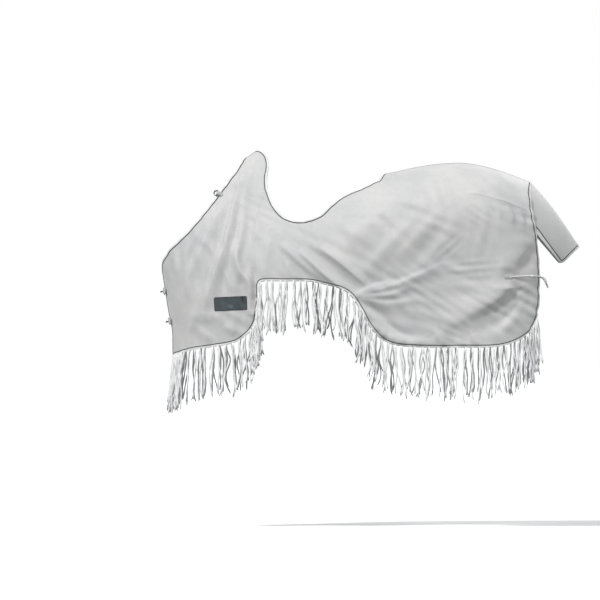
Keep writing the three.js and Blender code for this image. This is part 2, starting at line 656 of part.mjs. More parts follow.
// The closure's plan, along the pull: straps at both ends, bars at +-BAR_AT, hook in between.
const BAR_AT = 27;
const BOW_ROOM = 4.6;          // between the hook's nose and the ring's bow
const EYE_ROOM = 1.2;          // on each side of the strap in the hook's eye
const HOOK_BEND = 4;           // radius of the hook's two bends
const GATE_ROOM = 0.8;         // from each face of the hook to the gate
const STEM_AT = 10.5;
const hookLow = STRAP_BASE - GAP;
const hookMiddle = hookLow + HOOK_WIRE / 2;
const noseAt = BAR_PLAY - BAR_AT + CHEST_RING[0] - WIRE / 2 - WIRE - BOW_ROOM - HOOK_WIRE;
const gateLift = hookLow + HOOK_DEPTH - GATE_WIRE;
const pivotAt = STEM_AT - HOOK_WIRE / 2 - GAP - GATE_WIRE / 2;

function hookGeometry() {
  const level = hookMiddle + HOOK_BEND;
  const line = [[noseAt, gateLift + GATE_WIRE / 2],
    ...arc(noseAt + HOOK_BEND, level, HOOK_BEND, 2 * QUARTER, 3 * QUARTER, 3),
    ...arc(STEM_AT - HOOK_BEND, level, HOOK_BEND, -QUARTER, 0, 3),
    [STEM_AT, gateLift + GATE_WIRE / 2]];
  const hook = widened(bent(line, HOOK_WIRE), 2 * HOOK_HALF);
  const eye = new THREE.Shape();
  const near = STEM_AT - 1;
  const far = BAR_AT - BAR_PLAY + WIRE / 2;
  const half = CHEST_STRAP_WIDTH / 2 + EYE_ROOM;
  const box = (path, margin) => path.moveTo(near + margin, -half - WIRE + margin)
    .lineTo(far - margin, -half - WIRE + margin).lineTo(far - margin, half + WIRE - margin)
    .lineTo(near + margin, half + WIRE - margin).closePath();
  box(eye, 0);
  const hole = new THREE.Path();
  box(hole, WIRE);
  eye.holes.push(hole);
  const eyePlate = new THREE.ExtrudeGeometry(eye, { depth: WIRE_THICK, bevelEnabled: false })
    .translate(0, 0, BAR_LIFT - WIRE_THICK / 2);
  return fused(hook, eyePlate);
}

function gateGeometry() {
  const tip = noseAt + HOOK_WIRE / 2 + GAP;
  const half = GATE_WIRE / 2;
  const shape = new THREE.Shape();
  shape.moveTo(tip, gateLift - half);
  shape.lineTo(pivotAt, gateLift - half);
  shape.absarc(pivotAt, gateLift, half, -QUARTER, QUARTER, false);
  shape.lineTo(tip, gateLift + half);
  shape.closePath();
  return widened(shape, 2 * (HOOK_HALF - GATE_ROOM));
}

// A group whose x runs along the given pull, y across it, and z off the cloth.
function frameAt(origin, pull, off) {
  const group = new THREE.Group();
  const z = off.clone().normalize();
  const x = pull.clone().addScaledVector(z, -pull.dot(z)).normalize();
  group.quaternion.setFromRotationMatrix(new THREE.Matrix4().makeBasis(x, z.clone().cross(x), z));
  group.position.copy(origin);
  sheet.add(group);
  return group;
}

function addChestClosure(level, height) {
  const [, z] = grade([0, height]);
  const slope = (chestFront(z + 5) - chestFront(z - 5)) / 10;
  const origin = new THREE.Vector3(chestFront(z), 0, z);
  const group = frameAt(origin, new THREE.Vector3(0, -1, 0), new THREE.Vector3(-1, 0, slope));
  const strap = (sign) => strapGeometry(CHEST_STRAP_WIDTH).rotateZ(sign < 0 ? Math.PI : 0)
    .translate(sign * BAR_AT, 0, 0);
  add(`chest_strap_${level}_left`, strap(1), WEBBING, group);
  add(`chest_strap_${level}_right`, strap(-1), WEBBING, group);
  add(`chest_ring_${level}`, ringGeometry(CHEST_RING).rotateZ(Math.PI)
    .translate(-BAR_AT, 0, 0), GUNMETAL, group);
  add(`chest_hook_${level}`, hookGeometry(), GUNMETAL, group);
  add(`chest_gate_${level}`, gateGeometry(), GUNMETAL, group);
}

function addNeckRing(name, side) {
  const wanted = onForm(grade(NECK_RING_AT));
  const distances = neckRun.map(([along, down]) => Math.hypot(along - wanted[0], down - wanted[1]));
  const at = distances.indexOf(Math.min(...distances));
  const pair = edgeLines.rim[at];
  const inner = place(edgeLines.panel[at], side);
  const origin = place(pair, side);
  const group = frameAt(origin, inner.clone().sub(origin), outward(pair, side));
  add(`neck_strap_${name}`, strapGeometry(NECK_STRAP_WIDTH), WEBBING, group);
  add(`neck_ring_${name}`, ringGeometry(NECK_RING), GUNMETAL, group);
}

// ---- tail cord ---------------------------------------------------------------------------
// The left half of the cord's route, from its tab round the rear edge to the centre line.
const TAIL_CORD = [[1101, -263.5, -552], [1116, -258.6, -551], [1134, -252.5, -549.5],
  [1154, -244.5, -548], [1175, -234, -547], [1195, -221.5, -547], [1215, -208, -548],
  [1233, -194, -550.5], [1247, -173, -555], [1255, -148, -562], [1260, -122, -571],
  [1264, -94, -581], [1268, -64, -590], [1270.5, -32, -596], [1271, 0, -598]];

function addTailCord() {
  const half = TAIL_CORD.map(([x, y, z]) => {
    const [gx, gz] = grade([x, z]);
    const clear = Math.sign(y) * (CLOTH + CORD / 2 + GAP);   // kept at every width
    return new THREE.Vector3(gx, clear + (y - clear) * BODY_WIDTH / 610, gz);
  });
  const mirrored = half.slice(0, -1).reverse().map((p) => p.clone().setY(-p.y));
  const path = new THREE.CatmullRomCurve3([...half, ...mirrored], false, 'centripetal');
  const section = new THREE.Shape(arc(0, 0, CORD / 2, 0, 2 * Math.PI, 8).slice(0, -1)
    .map((p) => new THREE.Vector2(...p)));
  add('tail_cord', new THREE.ExtrudeGeometry(section, { steps: 60, extrudePath: path }), FRINGE);
  for (const [name, side] of sides) {
    const tip = half[0].clone().setY(half[0].y * -side);
    const next = half[1].clone().setY(half[1].y * -side);
    const ahead = tip.clone().sub(next);
    const off = outward(onForm([tip.x, tip.z]), side);
    const group = frameAt(tip, ahead, off);
    const tab = new THREE.BoxGeometry(CORD_TAB[0], CORD_TAB[1], CORD * 0.6)
      .translate(CORD_TAB[0] / 2 + GAP, 0, -CORD * 0.2);
    add(`tail_cord_tab_${name}`, tab, WEBBING, group);
  }
}

// ---- assembly ----------------------------------------------------------------------------
addPanels();
addEdgings();
addSpineTape('withers_tape', shoulderTop);
addSpineTape('croup_tape', backRidge);
addPatch();
addTailFlap();
addFringe();
addChestClosure('upper', -613);
addChestClosure('lower', -744);
for (const [name, side] of sides) addNeckRing(name, side);
addTailCord();

export default sheet;
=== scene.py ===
import json
import math

import bmesh
import bpy
import numpy as np
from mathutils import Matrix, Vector


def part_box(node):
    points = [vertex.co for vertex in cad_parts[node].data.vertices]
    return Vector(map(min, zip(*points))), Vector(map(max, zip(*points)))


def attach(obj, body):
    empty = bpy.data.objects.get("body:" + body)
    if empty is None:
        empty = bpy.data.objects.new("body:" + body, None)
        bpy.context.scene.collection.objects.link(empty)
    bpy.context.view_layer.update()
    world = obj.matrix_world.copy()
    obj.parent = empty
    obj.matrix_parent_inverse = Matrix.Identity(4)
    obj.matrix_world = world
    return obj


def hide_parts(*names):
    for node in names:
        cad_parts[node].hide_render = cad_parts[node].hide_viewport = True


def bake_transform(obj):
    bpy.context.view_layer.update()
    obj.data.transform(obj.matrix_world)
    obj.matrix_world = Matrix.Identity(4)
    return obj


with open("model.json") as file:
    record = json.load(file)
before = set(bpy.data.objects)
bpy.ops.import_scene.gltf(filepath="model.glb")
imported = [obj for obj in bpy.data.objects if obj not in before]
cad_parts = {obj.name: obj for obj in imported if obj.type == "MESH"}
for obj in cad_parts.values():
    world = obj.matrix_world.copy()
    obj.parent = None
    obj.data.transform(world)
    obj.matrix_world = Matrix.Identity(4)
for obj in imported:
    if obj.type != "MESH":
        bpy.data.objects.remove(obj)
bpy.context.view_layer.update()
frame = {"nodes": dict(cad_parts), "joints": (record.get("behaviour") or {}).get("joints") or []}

MM = 0.001
QUARTER = math.pi / 2
LEFT, RIGHT = -1, 1
SIDES = (("left", LEFT), ("right", RIGHT))


# ---- the form under the cloth ---------------------------------------------------------------
def smooth(points):
    """A height over x: on each span the cubic with the points' heights and their neighbours'
    mean slopes at its ends, and straight lines beyond the first and last point."""
    x, y = np.array(points, float).T
    last = len(x) - 1
    i = np.arange(last + 1)
    a, b = np.maximum(i - 1, 0), np.minimum(i + 1, last)
    slope = (y[b] - y[a]) / (x[b] - x[a])

    def height(at):
        at = np.asarray(at, float)
        k = np.clip(np.searchsorted(x, at) - 1, 0, last - 1)
        w = x[k + 1] - x[k]
        t = (at - x[k]) / w
        inside = ((1 + 2 * t) * (1 - t) ** 2 * y[k] + t * (1 - t) ** 2 * w * slope[k]
                  + t * t * (3 - 2 * t) * y[k + 1] - t * t * (1 - t) * w * slope[k + 1])
        low = y[0] + slope[0] * (at - x[0])
        high = y[last] + slope[last] * (at - x[last])
        return np.where(at <= x[0], low, np.where(at >= x[last], high, inside))

    return height


SPINE = smooth([(-440, -112), (-231, -66), (-130, -48), (-61, -35), (0, 0), (70, -12),
                (200, -75), (350, -125), (548, -104), (700, -72), (813, -57), (922, -57),
                (1053, -87), (1201, -144), (1300, -190)])
BACK_LINE = smooth([(-440, -118), (-231, -82), (-61, -64), (70, -64), (200, -84), (350, -125),
                    (548, -104), (700, -72), (813, -57), (922, -57), (1053, -87),
                    (1201, -144), (1300, -190)])
CHEST_FRONT = smooth([(-1000, -372), (-826, -372), (-783, -374), (-696, -391), (-609, -405),
                      (-557, -413), (-500, -422), (-380, -430), (-200, -432)])
WIDTH_SHARE = smooth([(-430, 0.70), (-231, 0.76), (0, 0.82), (200, 0.94), (450, 1),
                      (700, 0.985), (900, 0.955), (1050, 0.892), (1130, 0.807),
                      (1200, 0.68), (1240, 0.58)])
ROUND_DEPTH = smooth([(-430, 560), (-231, 560), (0, 520), (300, 420), (600, 300),
                      (900, 262), (1240, 250)])
ROUND_POWER = smooth([(-430, 1.5), (-231, 1.5), (0, 1.55), (300, 2), (600, 2.2),
                      (850, 2.1), (1240, 2)])
HALF_WIDTH = 305
WITHERS_FADE = 150
CHEST_ROUND = 300
CHEST_POWER = 2.2
SEAM_HALF = 0.3
CHEST_SLIT = 6


def top_line(x, down):
    """The spine's height at x, where the withers' rise fades out down the shoulder."""
    return BACK_LINE(x) + (SPINE(x) - BACK_LINE(x)) * np.exp(-(down / WITHERS_FADE) ** 2)


def turned(length, radius):
    """Depth reached after a length round a quarter circle of that radius, then straight."""
    bend = radius * (1 - np.cos(np.minimum(length / radius, QUARTER)))
    return bend + np.maximum(length - radius * QUARTER, 0)


def unturned(depth, radius):
    """The length round the quarter circle and down the straight that reaches a depth."""
    bend = radius * np.arccos(1 - np.clip(depth / radius, 0, 1))
    return bend + np.maximum(depth - radius, 0)


def swell(length, radius, power):
    """Share of the full width after a length: a superellipse's quarter, then one."""
    c = np.maximum(np.cos(np.clip(length / radius, 0, QUARTER)), 0)
    return (1 - c ** power) ** (1 / power)


def on_form(spots):
    """Pairs of places seen from the side at x, z, by halving towards the fixed point."""
    x, z = np.array(spots, float).T
    down = np.zeros_like(x)
    for _ in range(60):
        down = (down + unturned(top_line(x, down) - z, ROUND_DEPTH(x))) / 2
    down = np.where(down < 0.01, 0, down)
    return np.stack([unturned(x - CHEST_FRONT(z), CHEST_ROUND), down], -1)


def bare(pair, side):
    """Place of a pair: x runs back from the chest's front, z down from the top line, and y
    is the half width times the swell round the chest and the swell round the back."""
    along, down = pair[..., 0], pair[..., 1]
    z = -down
    for _ in range(40):
        x = CHEST_FRONT(z) + turned(along, CHEST_ROUND)
        fresh = top_line(x, down) - turned(down, ROUND_DEPTH(x))
        moved, z = np.max(np.abs(fresh - z)), fresh
        if moved < 1e-5:
            break
    opening = np.maximum(0, 1 - along / (CHEST_ROUND / 2)) ** 2
    slit = SEAM_HALF + (CHEST_SLIT - SEAM_HALF) * opening
    out = (HALF_WIDTH * WIDTH_SHARE(x) * swell(along, CHEST_ROUND, CHEST_POWER)
           * swell(down, ROUND_DEPTH(x), ROUND_POWER(x)))
    return np.stack([x, side * (slit + out), z], -1)


def unit(vectors):
    """Vectors brought to length one."""
    return vectors / np.maximum(np.linalg.norm(vectors, axis=-1, keepdims=True), 1e-9)


def outward(pair, side):
    """The form's outward direction: rearward difference crossed with downward difference."""
    step = np.array([2.0, 0.0]), np.array([0.0, 2.0])
    back = bare(pair + step[0], side) - bare(np.maximum(pair - step[0], 0), side)
    round_ = bare(pair + step[1], side) - bare(np.maximum(pair - step[1], 0), side)
    return unit(np.cross(back, round_) * side)


# ---- lines drawn on the cloth ---------------------------------------------------------------
def lengths(line):
    """Length run from the start of a line to each of its points."""
    return np.concatenate([[0], np.cumsum(np.linalg.norm(np.diff(line, axis=0), axis=1))])


def respaced(line, count, start=0.0, end=0.0):
    """count points at equal steps along a line, short of its ends by start and end."""
    run = lengths(line)
    at = np.linspace(start, run[-1] - end, count)
    return np.stack([np.interp(at, run, column) for column in line.T], -1)


def curve_through(points, per_span=24):
    """Centripetal Catmull-Rom curve: on each span a cubic whose end slopes come from the
    neighbouring points, spaced by the square root of their distances."""
    p = np.asarray(points, float)
    p = np.concatenate([[2 * p[0] - p[1]], p, [2 * p[-1] - p[-2]]])
    gap = np.sqrt(np.linalg.norm(np.diff(p, axis=0), axis=1))[:, None]
    d0, d1, d2 = gap[:-2], gap[1:-1], gap[2:]
    a, b, c, d = p[:-3], p[1:-2], p[2:-1], p[3:]
    m1 = ((b - a) / d0 - (c - a) / (d0 + d1) + (c - b) / d1) * d1
    m2 = ((c - b) / d1 - (d - b) / (d1 + d2) + (d - c) / d2) * d1
    t = (np.arange(per_span) / per_span)[None, :, None]
    b, c, m1, m2 = b[:, None], c[:, None], m1[:, None], m2[:, None]
    spans = ((1 + 2 * t) * (1 - t) ** 2 * b + t * (1 - t) ** 2 * m1
             + t * t * (3 - 2 * t) * c - t * t * (1 - t) * m2)
    return np.concatenate([spans.reshape(-1, p.shape[1]), p[-2:-1]])


def drawn(spots, step, start=0.0, end=0.0):
    """Evenly stepped pairs along a smooth line through side-view places."""
    line = curve_through(on_form(spots))
    count = max(3, int(round((lengths(line)[-1] - start - end) / step)) + 1)
    return respaced(line, count, start, end)


def rounding(before, corner, after, count):
    """Inner points of a corner's parabola between the ends of two lines."""
    t = (np.arange(1, count) / count)[:, None]
    return before * (1 - t) ** 2 + corner * 2 * t * (1 - t) + after * t * t


COLLAR, CHEST_TOP, CHEST_FOOT = (-61, -35), (-422, -518), (-374, -900)
STEP_FOOT, STEP_HEAD, DOCK_TOP = (-8, -752), (2, -572), (1201, -144)
NECK = [COLLAR, (-100, -87), (-165, -174), (-231, -261), (-296, -339), (-348, -392),
        (-391, -435), (-412, -470), CHEST_TOP]
CHEST = [CHEST_TOP, (-413, -557), (-405, -609), (-391, -696), (-374, -783), CHEST_FOOT]
FRONT_HEM = [CHEST_FOOT, (-339, -886), (-296, -873), (-196, -857), (-100, -838),
             (-48, -803), STEP_FOOT]
STEP_EDGE = [STEP_FOOT, (4, -652), STEP_HEAD]
LONG_HEM = [STEP_HEAD, (100, -570), (183, -570), (270, -579), (357, -602), (404, -632),
            (448, -696), (485, -765), (531, -818), (574, -843), (635, -855), (735, -860),
            (835, -861), (945, -860), (1053, -855), (1131, -831), (1183, -796), (1213, -745)]
REAR = [(1213, -745), (1226, -680), (1230, -580), (1227, -479), (1214, -362)]
DOCK = [(1214, -362), (1197, -283), (1190, -218), DOCK_TOP]
CUT_OUT_FRONT = [(0, 0), (36, -22), (46, -62), (38, -122), (40, -165)]
CUT_OUT_BACK = [(40, -165), (70, -240), (117, -290), (183, -308), (261, -287), (318, -238),
                (365, -203), (425, -176), (485, -152), (527, -129), (548, -104)]
CHEST_CORNER, HEM_CORNER, STEP_CORNER, ARM_CORNER = 22, 24, 36, 24
EDGE_STEP = 4.0
CORNER_STEPS = 8


def free_edge():
    """The free edge from the collar down the chest, along the hem and up to the dock, with
    each corner rounded, and where its four stretches meet."""
    runs = [drawn(NECK, EDGE_STEP, 0, CHEST_CORNER),
            drawn(CHEST, EDGE_STEP, CHEST_CORNER, HEM_CORNER),
            drawn(FRONT_HEM, EDGE_STEP, HEM_CORNER, STEP_CORNER),
            drawn(STEP_EDGE, EDGE_STEP, STEP_CORNER, ARM_CORNER),
            drawn(LONG_HEM, EDGE_STEP, ARM_CORNER, 0)]
    corners = on_form([CHEST_TOP, CHEST_FOOT, STEP_FOOT, STEP_HEAD])
    line = [runs[0]]
    middles = []
    for corner, before, after in zip(corners, runs, runs[1:]):
        middles.append(sum(map(len, line)) + CORNER_STEPS // 2 - 1)
        line += [rounding(before[-1], corner, after[0], CORNER_STEPS), after]
    hem_end = sum(map(len, line)) - 1
    line += [drawn(REAR, EDGE_STEP)[1:], drawn(DOCK, EDGE_STEP)[1:]]
    edge = np.concatenate(line)
    stops = {"neck": (0, middles[0]), "chest": (middles[0], middles[1]),
             "hem": (middles[1], hem_end), "rear": (hem_end, len(edge) - 1)}
    return edge, stops, middles[2], middles[3]


EDGE, STRETCHES, STEP_FOOT_AT, STEP_HEAD_AT = free_edge()
CUT_FRONT = drawn(CUT_OUT_FRONT, EDGE_STEP)
CUT_BACK = drawn(CUT_OUT_BACK, EDGE_STEP)
CUT_OUT = np.concatenate([CUT_FRONT, CUT_BACK[1:]])


def inset_ways(line, turn):
    """Pair moved per millimetre of cloth when a point leaves the line towards the panel:
    the line's normal, or the spine's direction at its two ends, over the form's stretch."""
    ahead = unit(np.gradient(line, axis=0))
    way = np.stack([ahead[:, 1], -ahead[:, 0]], -1) * turn
    for end in (0, -1):
        slant = abs(way[end, 0])
        way[end] = [np.sign(way[end, 0]) / max(slant, 0.2), 0]
    probe = np.maximum(line + 3 * unit(way), 0)
    moved = np.linalg.norm(probe - line, axis=1)
    stretch = np.linalg.norm(bare(probe, LEFT) - bare(line, LEFT), axis=1) / moved
    return way / stretch[:, None]


EDGE_WAYS = inset_ways(EDGE, 1)
CUT_WAYS = inset_ways(CUT_OUT, -1)


def inset(line, ways, width):
    """The line moved onto the cloth by a width, or by one width for each of several rows."""
    return np.maximum(line + ways * width, 0)


# ---- how the cloth has settled --------------------------------------------------------------
# Each fold: its line seen from the side, its height, and its half widths on the line's left
# and right, looking along it. The narrow side is the steep one.
SHOULDER_FOLDS = [
    ([(-62, -80), (-100, -226), (-146, -413), (-200, -570), (-236, -710)], 7.5, 34, 13),
    ([(-72, -110), (-150, -240), (-226, -380), (-300, -560), (-318, -660)], 4.6, 32, 15),
    ([(-44, -130), (-70, -300), (-84, -440), (-100, -590)], 4.0, 22, 15),
    ([(-170, -230), (-248, -340), (-322, -460), (-352, -560)], 3.2, 26, 16),
    ([(-252, -560), (-262, -690), (-300, -800)], 3.4, 26, 16),
    ([(-60, -190), (-96, -350), (-140, -500), (-176, -680)], -3.0, 22, 30),
    ([(-104, -375), (-80, -520), (-38, -575), (-24, -660), (-30, -760)], 7.0, 16, 26),
    ([(-22, -500), (-14, -600), (-22, -720)], -5.0, 14, 14),
    ([(-357, -425), (-352, -540), (-344, -665)], 2.8, 16, 18),
    ([(-318, -430), (-312, -550), (-300, -670)], 2.6, 16, 16),
    ([(-290, -745), (-235, -800), (-190, -830)], 2.5, 18, 26),
    ([(-60, -215), (-10, -290), (6, -400)], 2.2, 22, 18),
    ([(-330, -700), (-250, -730), (-150, -720)], 1.6, 30, 24),
    ([(-150, -760), (-95, -800)], 2.2, 16, 20),
]
BODY_FOLDS = [
    ([(170, -430), (280, -530), (398, -628)], 6.4, 26, 13),
    ([(268, -425), (370, -500), (474, -585)], 6.0, 26, 13),
    ([(90, -400), (200, -500), (330, -590)], 4.2, 24, 16),
    ([(212, -410), (330, -520), (440, -610)], -3.0, 18, 18),
    ([(1212, -600), (1150, -680), (1040, -752), (930, -800)], -4.6, 30, 34),
    ([(422, -628), (500, -598), (590, -575)], 3.4, 11, 20),
    ([(430, -640), (575, -630), (660, -600)], 3.2, 11, 22),
    ([(430, -634), (560, -600), (712, -540), (800, -500)], 3.6, 12, 30),
    ([(436, -650), (560, -668), (690, -655)], 3.0, 12, 24),
    ([(436, -640), (500, -745), (568, -812), (680, -838), (790, -842)], 6.0, 26, 26),
    ([(428, -640), (525, -715), (622, -800), (700, -822)], -5.5, 22, 14),
    ([(470, -745), (520, -805), (580, -846)], -3.5, 10, 14),
    ([(1206, -385), (1142, -440), (1098, -530), (1070, -612), (985, -672), (880, -730),
      (780, -790)], 6.6, 34, 60),
    ([(1214, -430), (1172, -500), (1130, -600), (1060, -680), (960, -740)], -4.0, 30, 30),
    ([(800, -265), (700, -370), (600, -480)], 5.0, 46, 30),
    ([(740, -250), (620, -370), (520, -470), (440, -560)], 4.2, 44, 32),
    ([(560, -250), (450, -350), (360, -440)], 3.0, 44, 34),
    ([(330, -320), (420, -360), (520, -430)], 2.6, 34, 26),
    ([(880, -255), (820, -370), (740, -480), (640, -560)], 2.6, 44, 30),
    ([(1020, -225), (1050, -262), (1062, -300)], 1.9, 10, 14),
    ([(1075, -240), (1104, -280), (1110, -325)], 2.0, 10, 14),
    ([(1130, -255), (1152, -292), (1158, -330)], 2.0, 9, 12),
    ([(960, -210), (985, -245), (1000, -290)], 1.6, 12, 14),
    ([(1180, -575), (1120, -600), (1030, -600)], 2.6, 11, 16),
    ([(1180, -545), (1110, -528), (1040, -500)], 2.2, 12, 16),
    ([(770, -800), (800, -830), (806, -858)], 3.0, 18, 12),
    ([(930, -800), (960, -850)], 2.4, 18, 14),
    ([(560, -170), (640, -220), (760, -240)], 2.0, 22, 22),
    ([(1150, -170), (1190, -260), (1200, -340)], 2.4, 16, 12),
    ([(120, -480), (150, -540), (190, -566)], 2.4, 14, 14),
    ([(60, -350), (40, -450), (30, -560)], 2.6, 20, 14),
    ([(1180, -640), (1120, -720), (1060, -790)], 3.2, 24, 16),
]
FOLD_DEPTH = 2.6
DART = [(922, -187), (1000, -204), (1100, -236), (1188, -270)]
DART_FOLDS = [(DART, 2.6, 9, 14)]
# Places where fittings are sewn on and the cloth lies flat: x, z and radius.
CALM_SPOTS = [(-178, -185, 42), (-388, -613, 40), (-385, -744, 40), (1090, -552, 44),
              (1150, -549, 44), (1200, -548, 44), (1225, -550, 40)]
SPINE_CALM, CHEST_CALM = 55, 60
CALM_SHARE = 0.95
CREASES = 110
CREASE_PITCH = 45              # a crease of this pitch has the height drawn for it
PUCKER_REACH = 34              # how far from the edge the tape's puckers reach


def beside(x, z, line):
    """Signed distance of places to a bent line, positive on its left, and the share of the
    line's length at the nearest point."""
    line = np.asarray(line, float)
    run = lengths(line)
    best = np.full(x.shape, 1e9)
    near = np.zeros(x.shape)
    share = np.zeros(x.shape)
    for k in range(len(line) - 1):
        (ax, az), (bx, bz) = line[k], line[k + 1]
        dx, dz = bx - ax, bz - az
        t = np.clip(((x - ax) * dx + (z - az) * dz) / (dx * dx + dz * dz), 0, 1)
        px, pz = x - ax - t * dx, z - az - t * dz
        distance = np.hypot(px, pz)
        closer = distance < best
        best = np.where(closer, distance, best)
        near = np.where(closer, np.sign(dx * pz - dz * px) * distance, near)
        share = np.where(closer, (run[k] + t * (run[k + 1] - run[k])) / run[-1], share)
    return near, share


def folded(x, z, folds):
    """Sum of the folds: each a bell across its line, of one width on each side, that dies
    out towards both ends of the line."""
    total = np.zeros(x.shape)
    for line, height, left, right in folds:
        distance, share = beside(x, z, curve_through(line, 5))
        width = np.where(distance > 0, left, right)
        fade = np.sin(np.clip(share, 0.02, 0.98) * math.pi) ** 0.6
        total += height * fade * np.exp(-(distance / width) ** 2)
    return FOLD_DEPTH * total


def creased(x, z, side):
    """Fine creases: many short plane waves, each under its own bell, drawn at random."""
    draw = np.random.default_rng(7 + side)
    total = np.zeros(x.shape)
    for _ in range(CREASES):
        cx, cz = draw.uniform(-420, 1240), draw.uniform(-880, -60)
        reach, wave = draw.uniform(60, 150), draw.uniform(30, 80)
        angle = draw.normal(-1.1 if cx < 60 else -0.7, 0.45)
        height = draw.uniform(0.7, 1.9) * wave / CREASE_PITCH
        u = (x - cx) * math.cos(angle) + (z - cz) * math.sin(angle)
        v = (z - cz) * math.cos(angle) - (x - cx) * math.sin(angle)
        bell = np.exp(-(u / reach) ** 2 - (v / (reach * 0.5)) ** 2)
        total += height * bell * np.cos(2 * math.pi * v / wave)
    return total


def far_side(folds):
    """The right half's own folds: the left half's, moved and scaled a little at random."""
    draw = np.random.default_rng(31)
    return [([(px + draw.normal(0, 9), pz + draw.normal(0, 9)) for px, pz in line],
             height * draw.uniform(0.7, 1.15), left * draw.uniform(0.9, 1.3),
             right * draw.uniform(0.9, 1.3)) for line, height, left, right in folds]


FOLDS = {LEFT: SHOULDER_FOLDS + BODY_FOLDS + DART_FOLDS}
FOLDS[RIGHT] = far_side(SHOULDER_FOLDS + BODY_FOLDS) + DART_FOLDS
PUCKER_STEP = 2                # every second station of the edge is enough to measure from


def along_edge(pair):
    """Run along the free edge, and distance to it, of the nearest station of the edge."""
    stations = EDGE[::PUCKER_STEP]
    run = lengths(EDGE)[::PUCKER_STEP]
    flat = pair.reshape(-1, 2)
    at, away = [], []
    for block in np.array_split(flat, max(1, len(flat) // 4000)):
        gap = ((block[:, None] - stations[None]) ** 2).sum(-1)
        nearest = gap.argmin(1)
        ahead = np.clip(nearest + 1, 0, len(run) - 1)
        behind = np.clip(nearest - 1, 0, len(run) - 1)
        way = stations[ahead] - stations[behind]
        slip = ((block - stations[nearest]) * way).sum(1) / np.maximum((way ** 2).sum(1), 1e-9)
        at.append(run[nearest] + slip * (run[ahead] - run[behind]))
        away.append(np.sqrt(gap.min(1)))
    return (np.concatenate(at).reshape(pair.shape[:-1]),
            np.concatenate(away).reshape(pair.shape[:-1]))


def puckered(pair, side):
    """Small waves that the taut tape draws into the edge. They fade inwards."""
    at, away = along_edge(pair)
    hem_from = lengths(EDGE)[STRETCHES["hem"][0]]
    strength = 0.7 + 1.5 / (1 + np.exp(-(at - hem_from) / 40))
    wave = (np.sin(at / 9.3 + 2.1 * np.sin(at / 61 + side)) * 0.6
            + np.sin(at / 16.7 + 1.3 * np.sin(at / 113) + side) * 0.8)
    return strength * wave * np.exp(-(away / PUCKER_REACH) ** 2)


def settled(spot, pair, side):
    """How far the cloth stands off the bare form: folds, creases and puckers, calmed
    along the spine, at the chest edge and round each fitting."""
    x, z = spot[..., 0], spot[..., 2]
    total = folded(x, z, FOLDS[side]) + creased(x, z, side) + puckered(pair, side)
    calm = 1 - np.exp(-(pair[..., 1] / SPINE_CALM) ** 2)
    calm = calm * (1 - CALM_SHARE * np.exp(-(pair[..., 0] / CHEST_CALM) ** 2))
    for cx, cz, radius in CALM_SPOTS:
        near = np.exp(-((x - cx) ** 2 + (z - cz) ** 2) / radius ** 2)
        calm = calm * (1 - CALM_SHARE * near)
    return total * calm


def cloth(pair, side, lift):
    """Place of a pair on the settled cloth, raised off its underside by a lift."""
    spot = bare(pair, side)
    away = lift + settled(spot, pair, side)
    return spot + outward(pair, side) * away[..., None]


# ---- meshes ---------------------------------------------------------------------------------
def mesh(name, points, faces, finish, uv=None, flat=False, shell=True):
    """A piece from points in millimetres and faces of any length. uv has one row for each
    face corner, in the order of the faces. A closed shell's faces are turned outwards."""
    if name in frame["nodes"]:
        name += "_finished"    # the CAD's own solid keeps the plain name
    data = bpy.data.meshes.new(name)
    data.from_pydata((np.asarray(points).reshape(-1, 3) * MM).tolist(), [], faces)
    if uv is not None:
        layer = data.uv_layers.new(name="Lay")
        layer.data.foreach_set("uv", np.asarray(uv, np.float32).ravel())
    data.polygons.foreach_set("use_smooth", [not flat] * len(data.polygons))
    data.materials.append(finish)
    if shell:
        solid = bmesh.new()
        solid.from_mesh(data)
        bmesh.ops.recalc_face_normals(solid, faces=solid.faces)
        solid.to_mesh(data)
        solid.free()
    data.update()
    piece = bpy.data.objects.new(name, data)
    bpy.context.scene.collection.objects.link(piece)
    return piece


def cells(rows, cols, wrap=False):
    """Corner indices of a grid's cells, and the same corners' row and column numbers, where
    a wrapped grid's last column joins its first."""
    r, c = np.meshgrid(np.arange(rows - 1), np.arange(cols if wrap else cols - 1),
                       indexing="ij")
    r, c = r.ravel(), c.ravel()
    corner_rows = np.stack([r, r, r + 1, r + 1], -1)
    corner_cols = np.stack([c, c + 1, c + 1, c], -1)
    return corner_rows * cols + corner_cols % cols, corner_rows, corner_cols


def tube_points(path, up, radius, sides, spin=0.0, closed=False):
    """Rings round paths: each point is its path's, moved by radius times the cosine of an
    angle sideways and its sine along up. Works on one path or a stack of them. A closed
    path's end runs into its start."""
    ahead = unit(np.roll(path, -1, -2) - np.roll(path, 1, -2) if closed
                 else np.gradient(path, axis=-2))
    side = unit(np.cross(ahead, up))
    over = np.cross(side, ahead)
    angle = np.arange(sides) * 2 * math.pi / sides + np.asarray(spin)[..., None]
    radius = np.asarray(radius)
    if radius.ndim < path.ndim:
        radius = radius[..., None]
    x = (radius * np.cos(angle))[..., None]
    y = (radius * np.sin(angle))[..., None]
    return path[..., None, :] + x * side[..., None, :] + y * over[..., None, :]


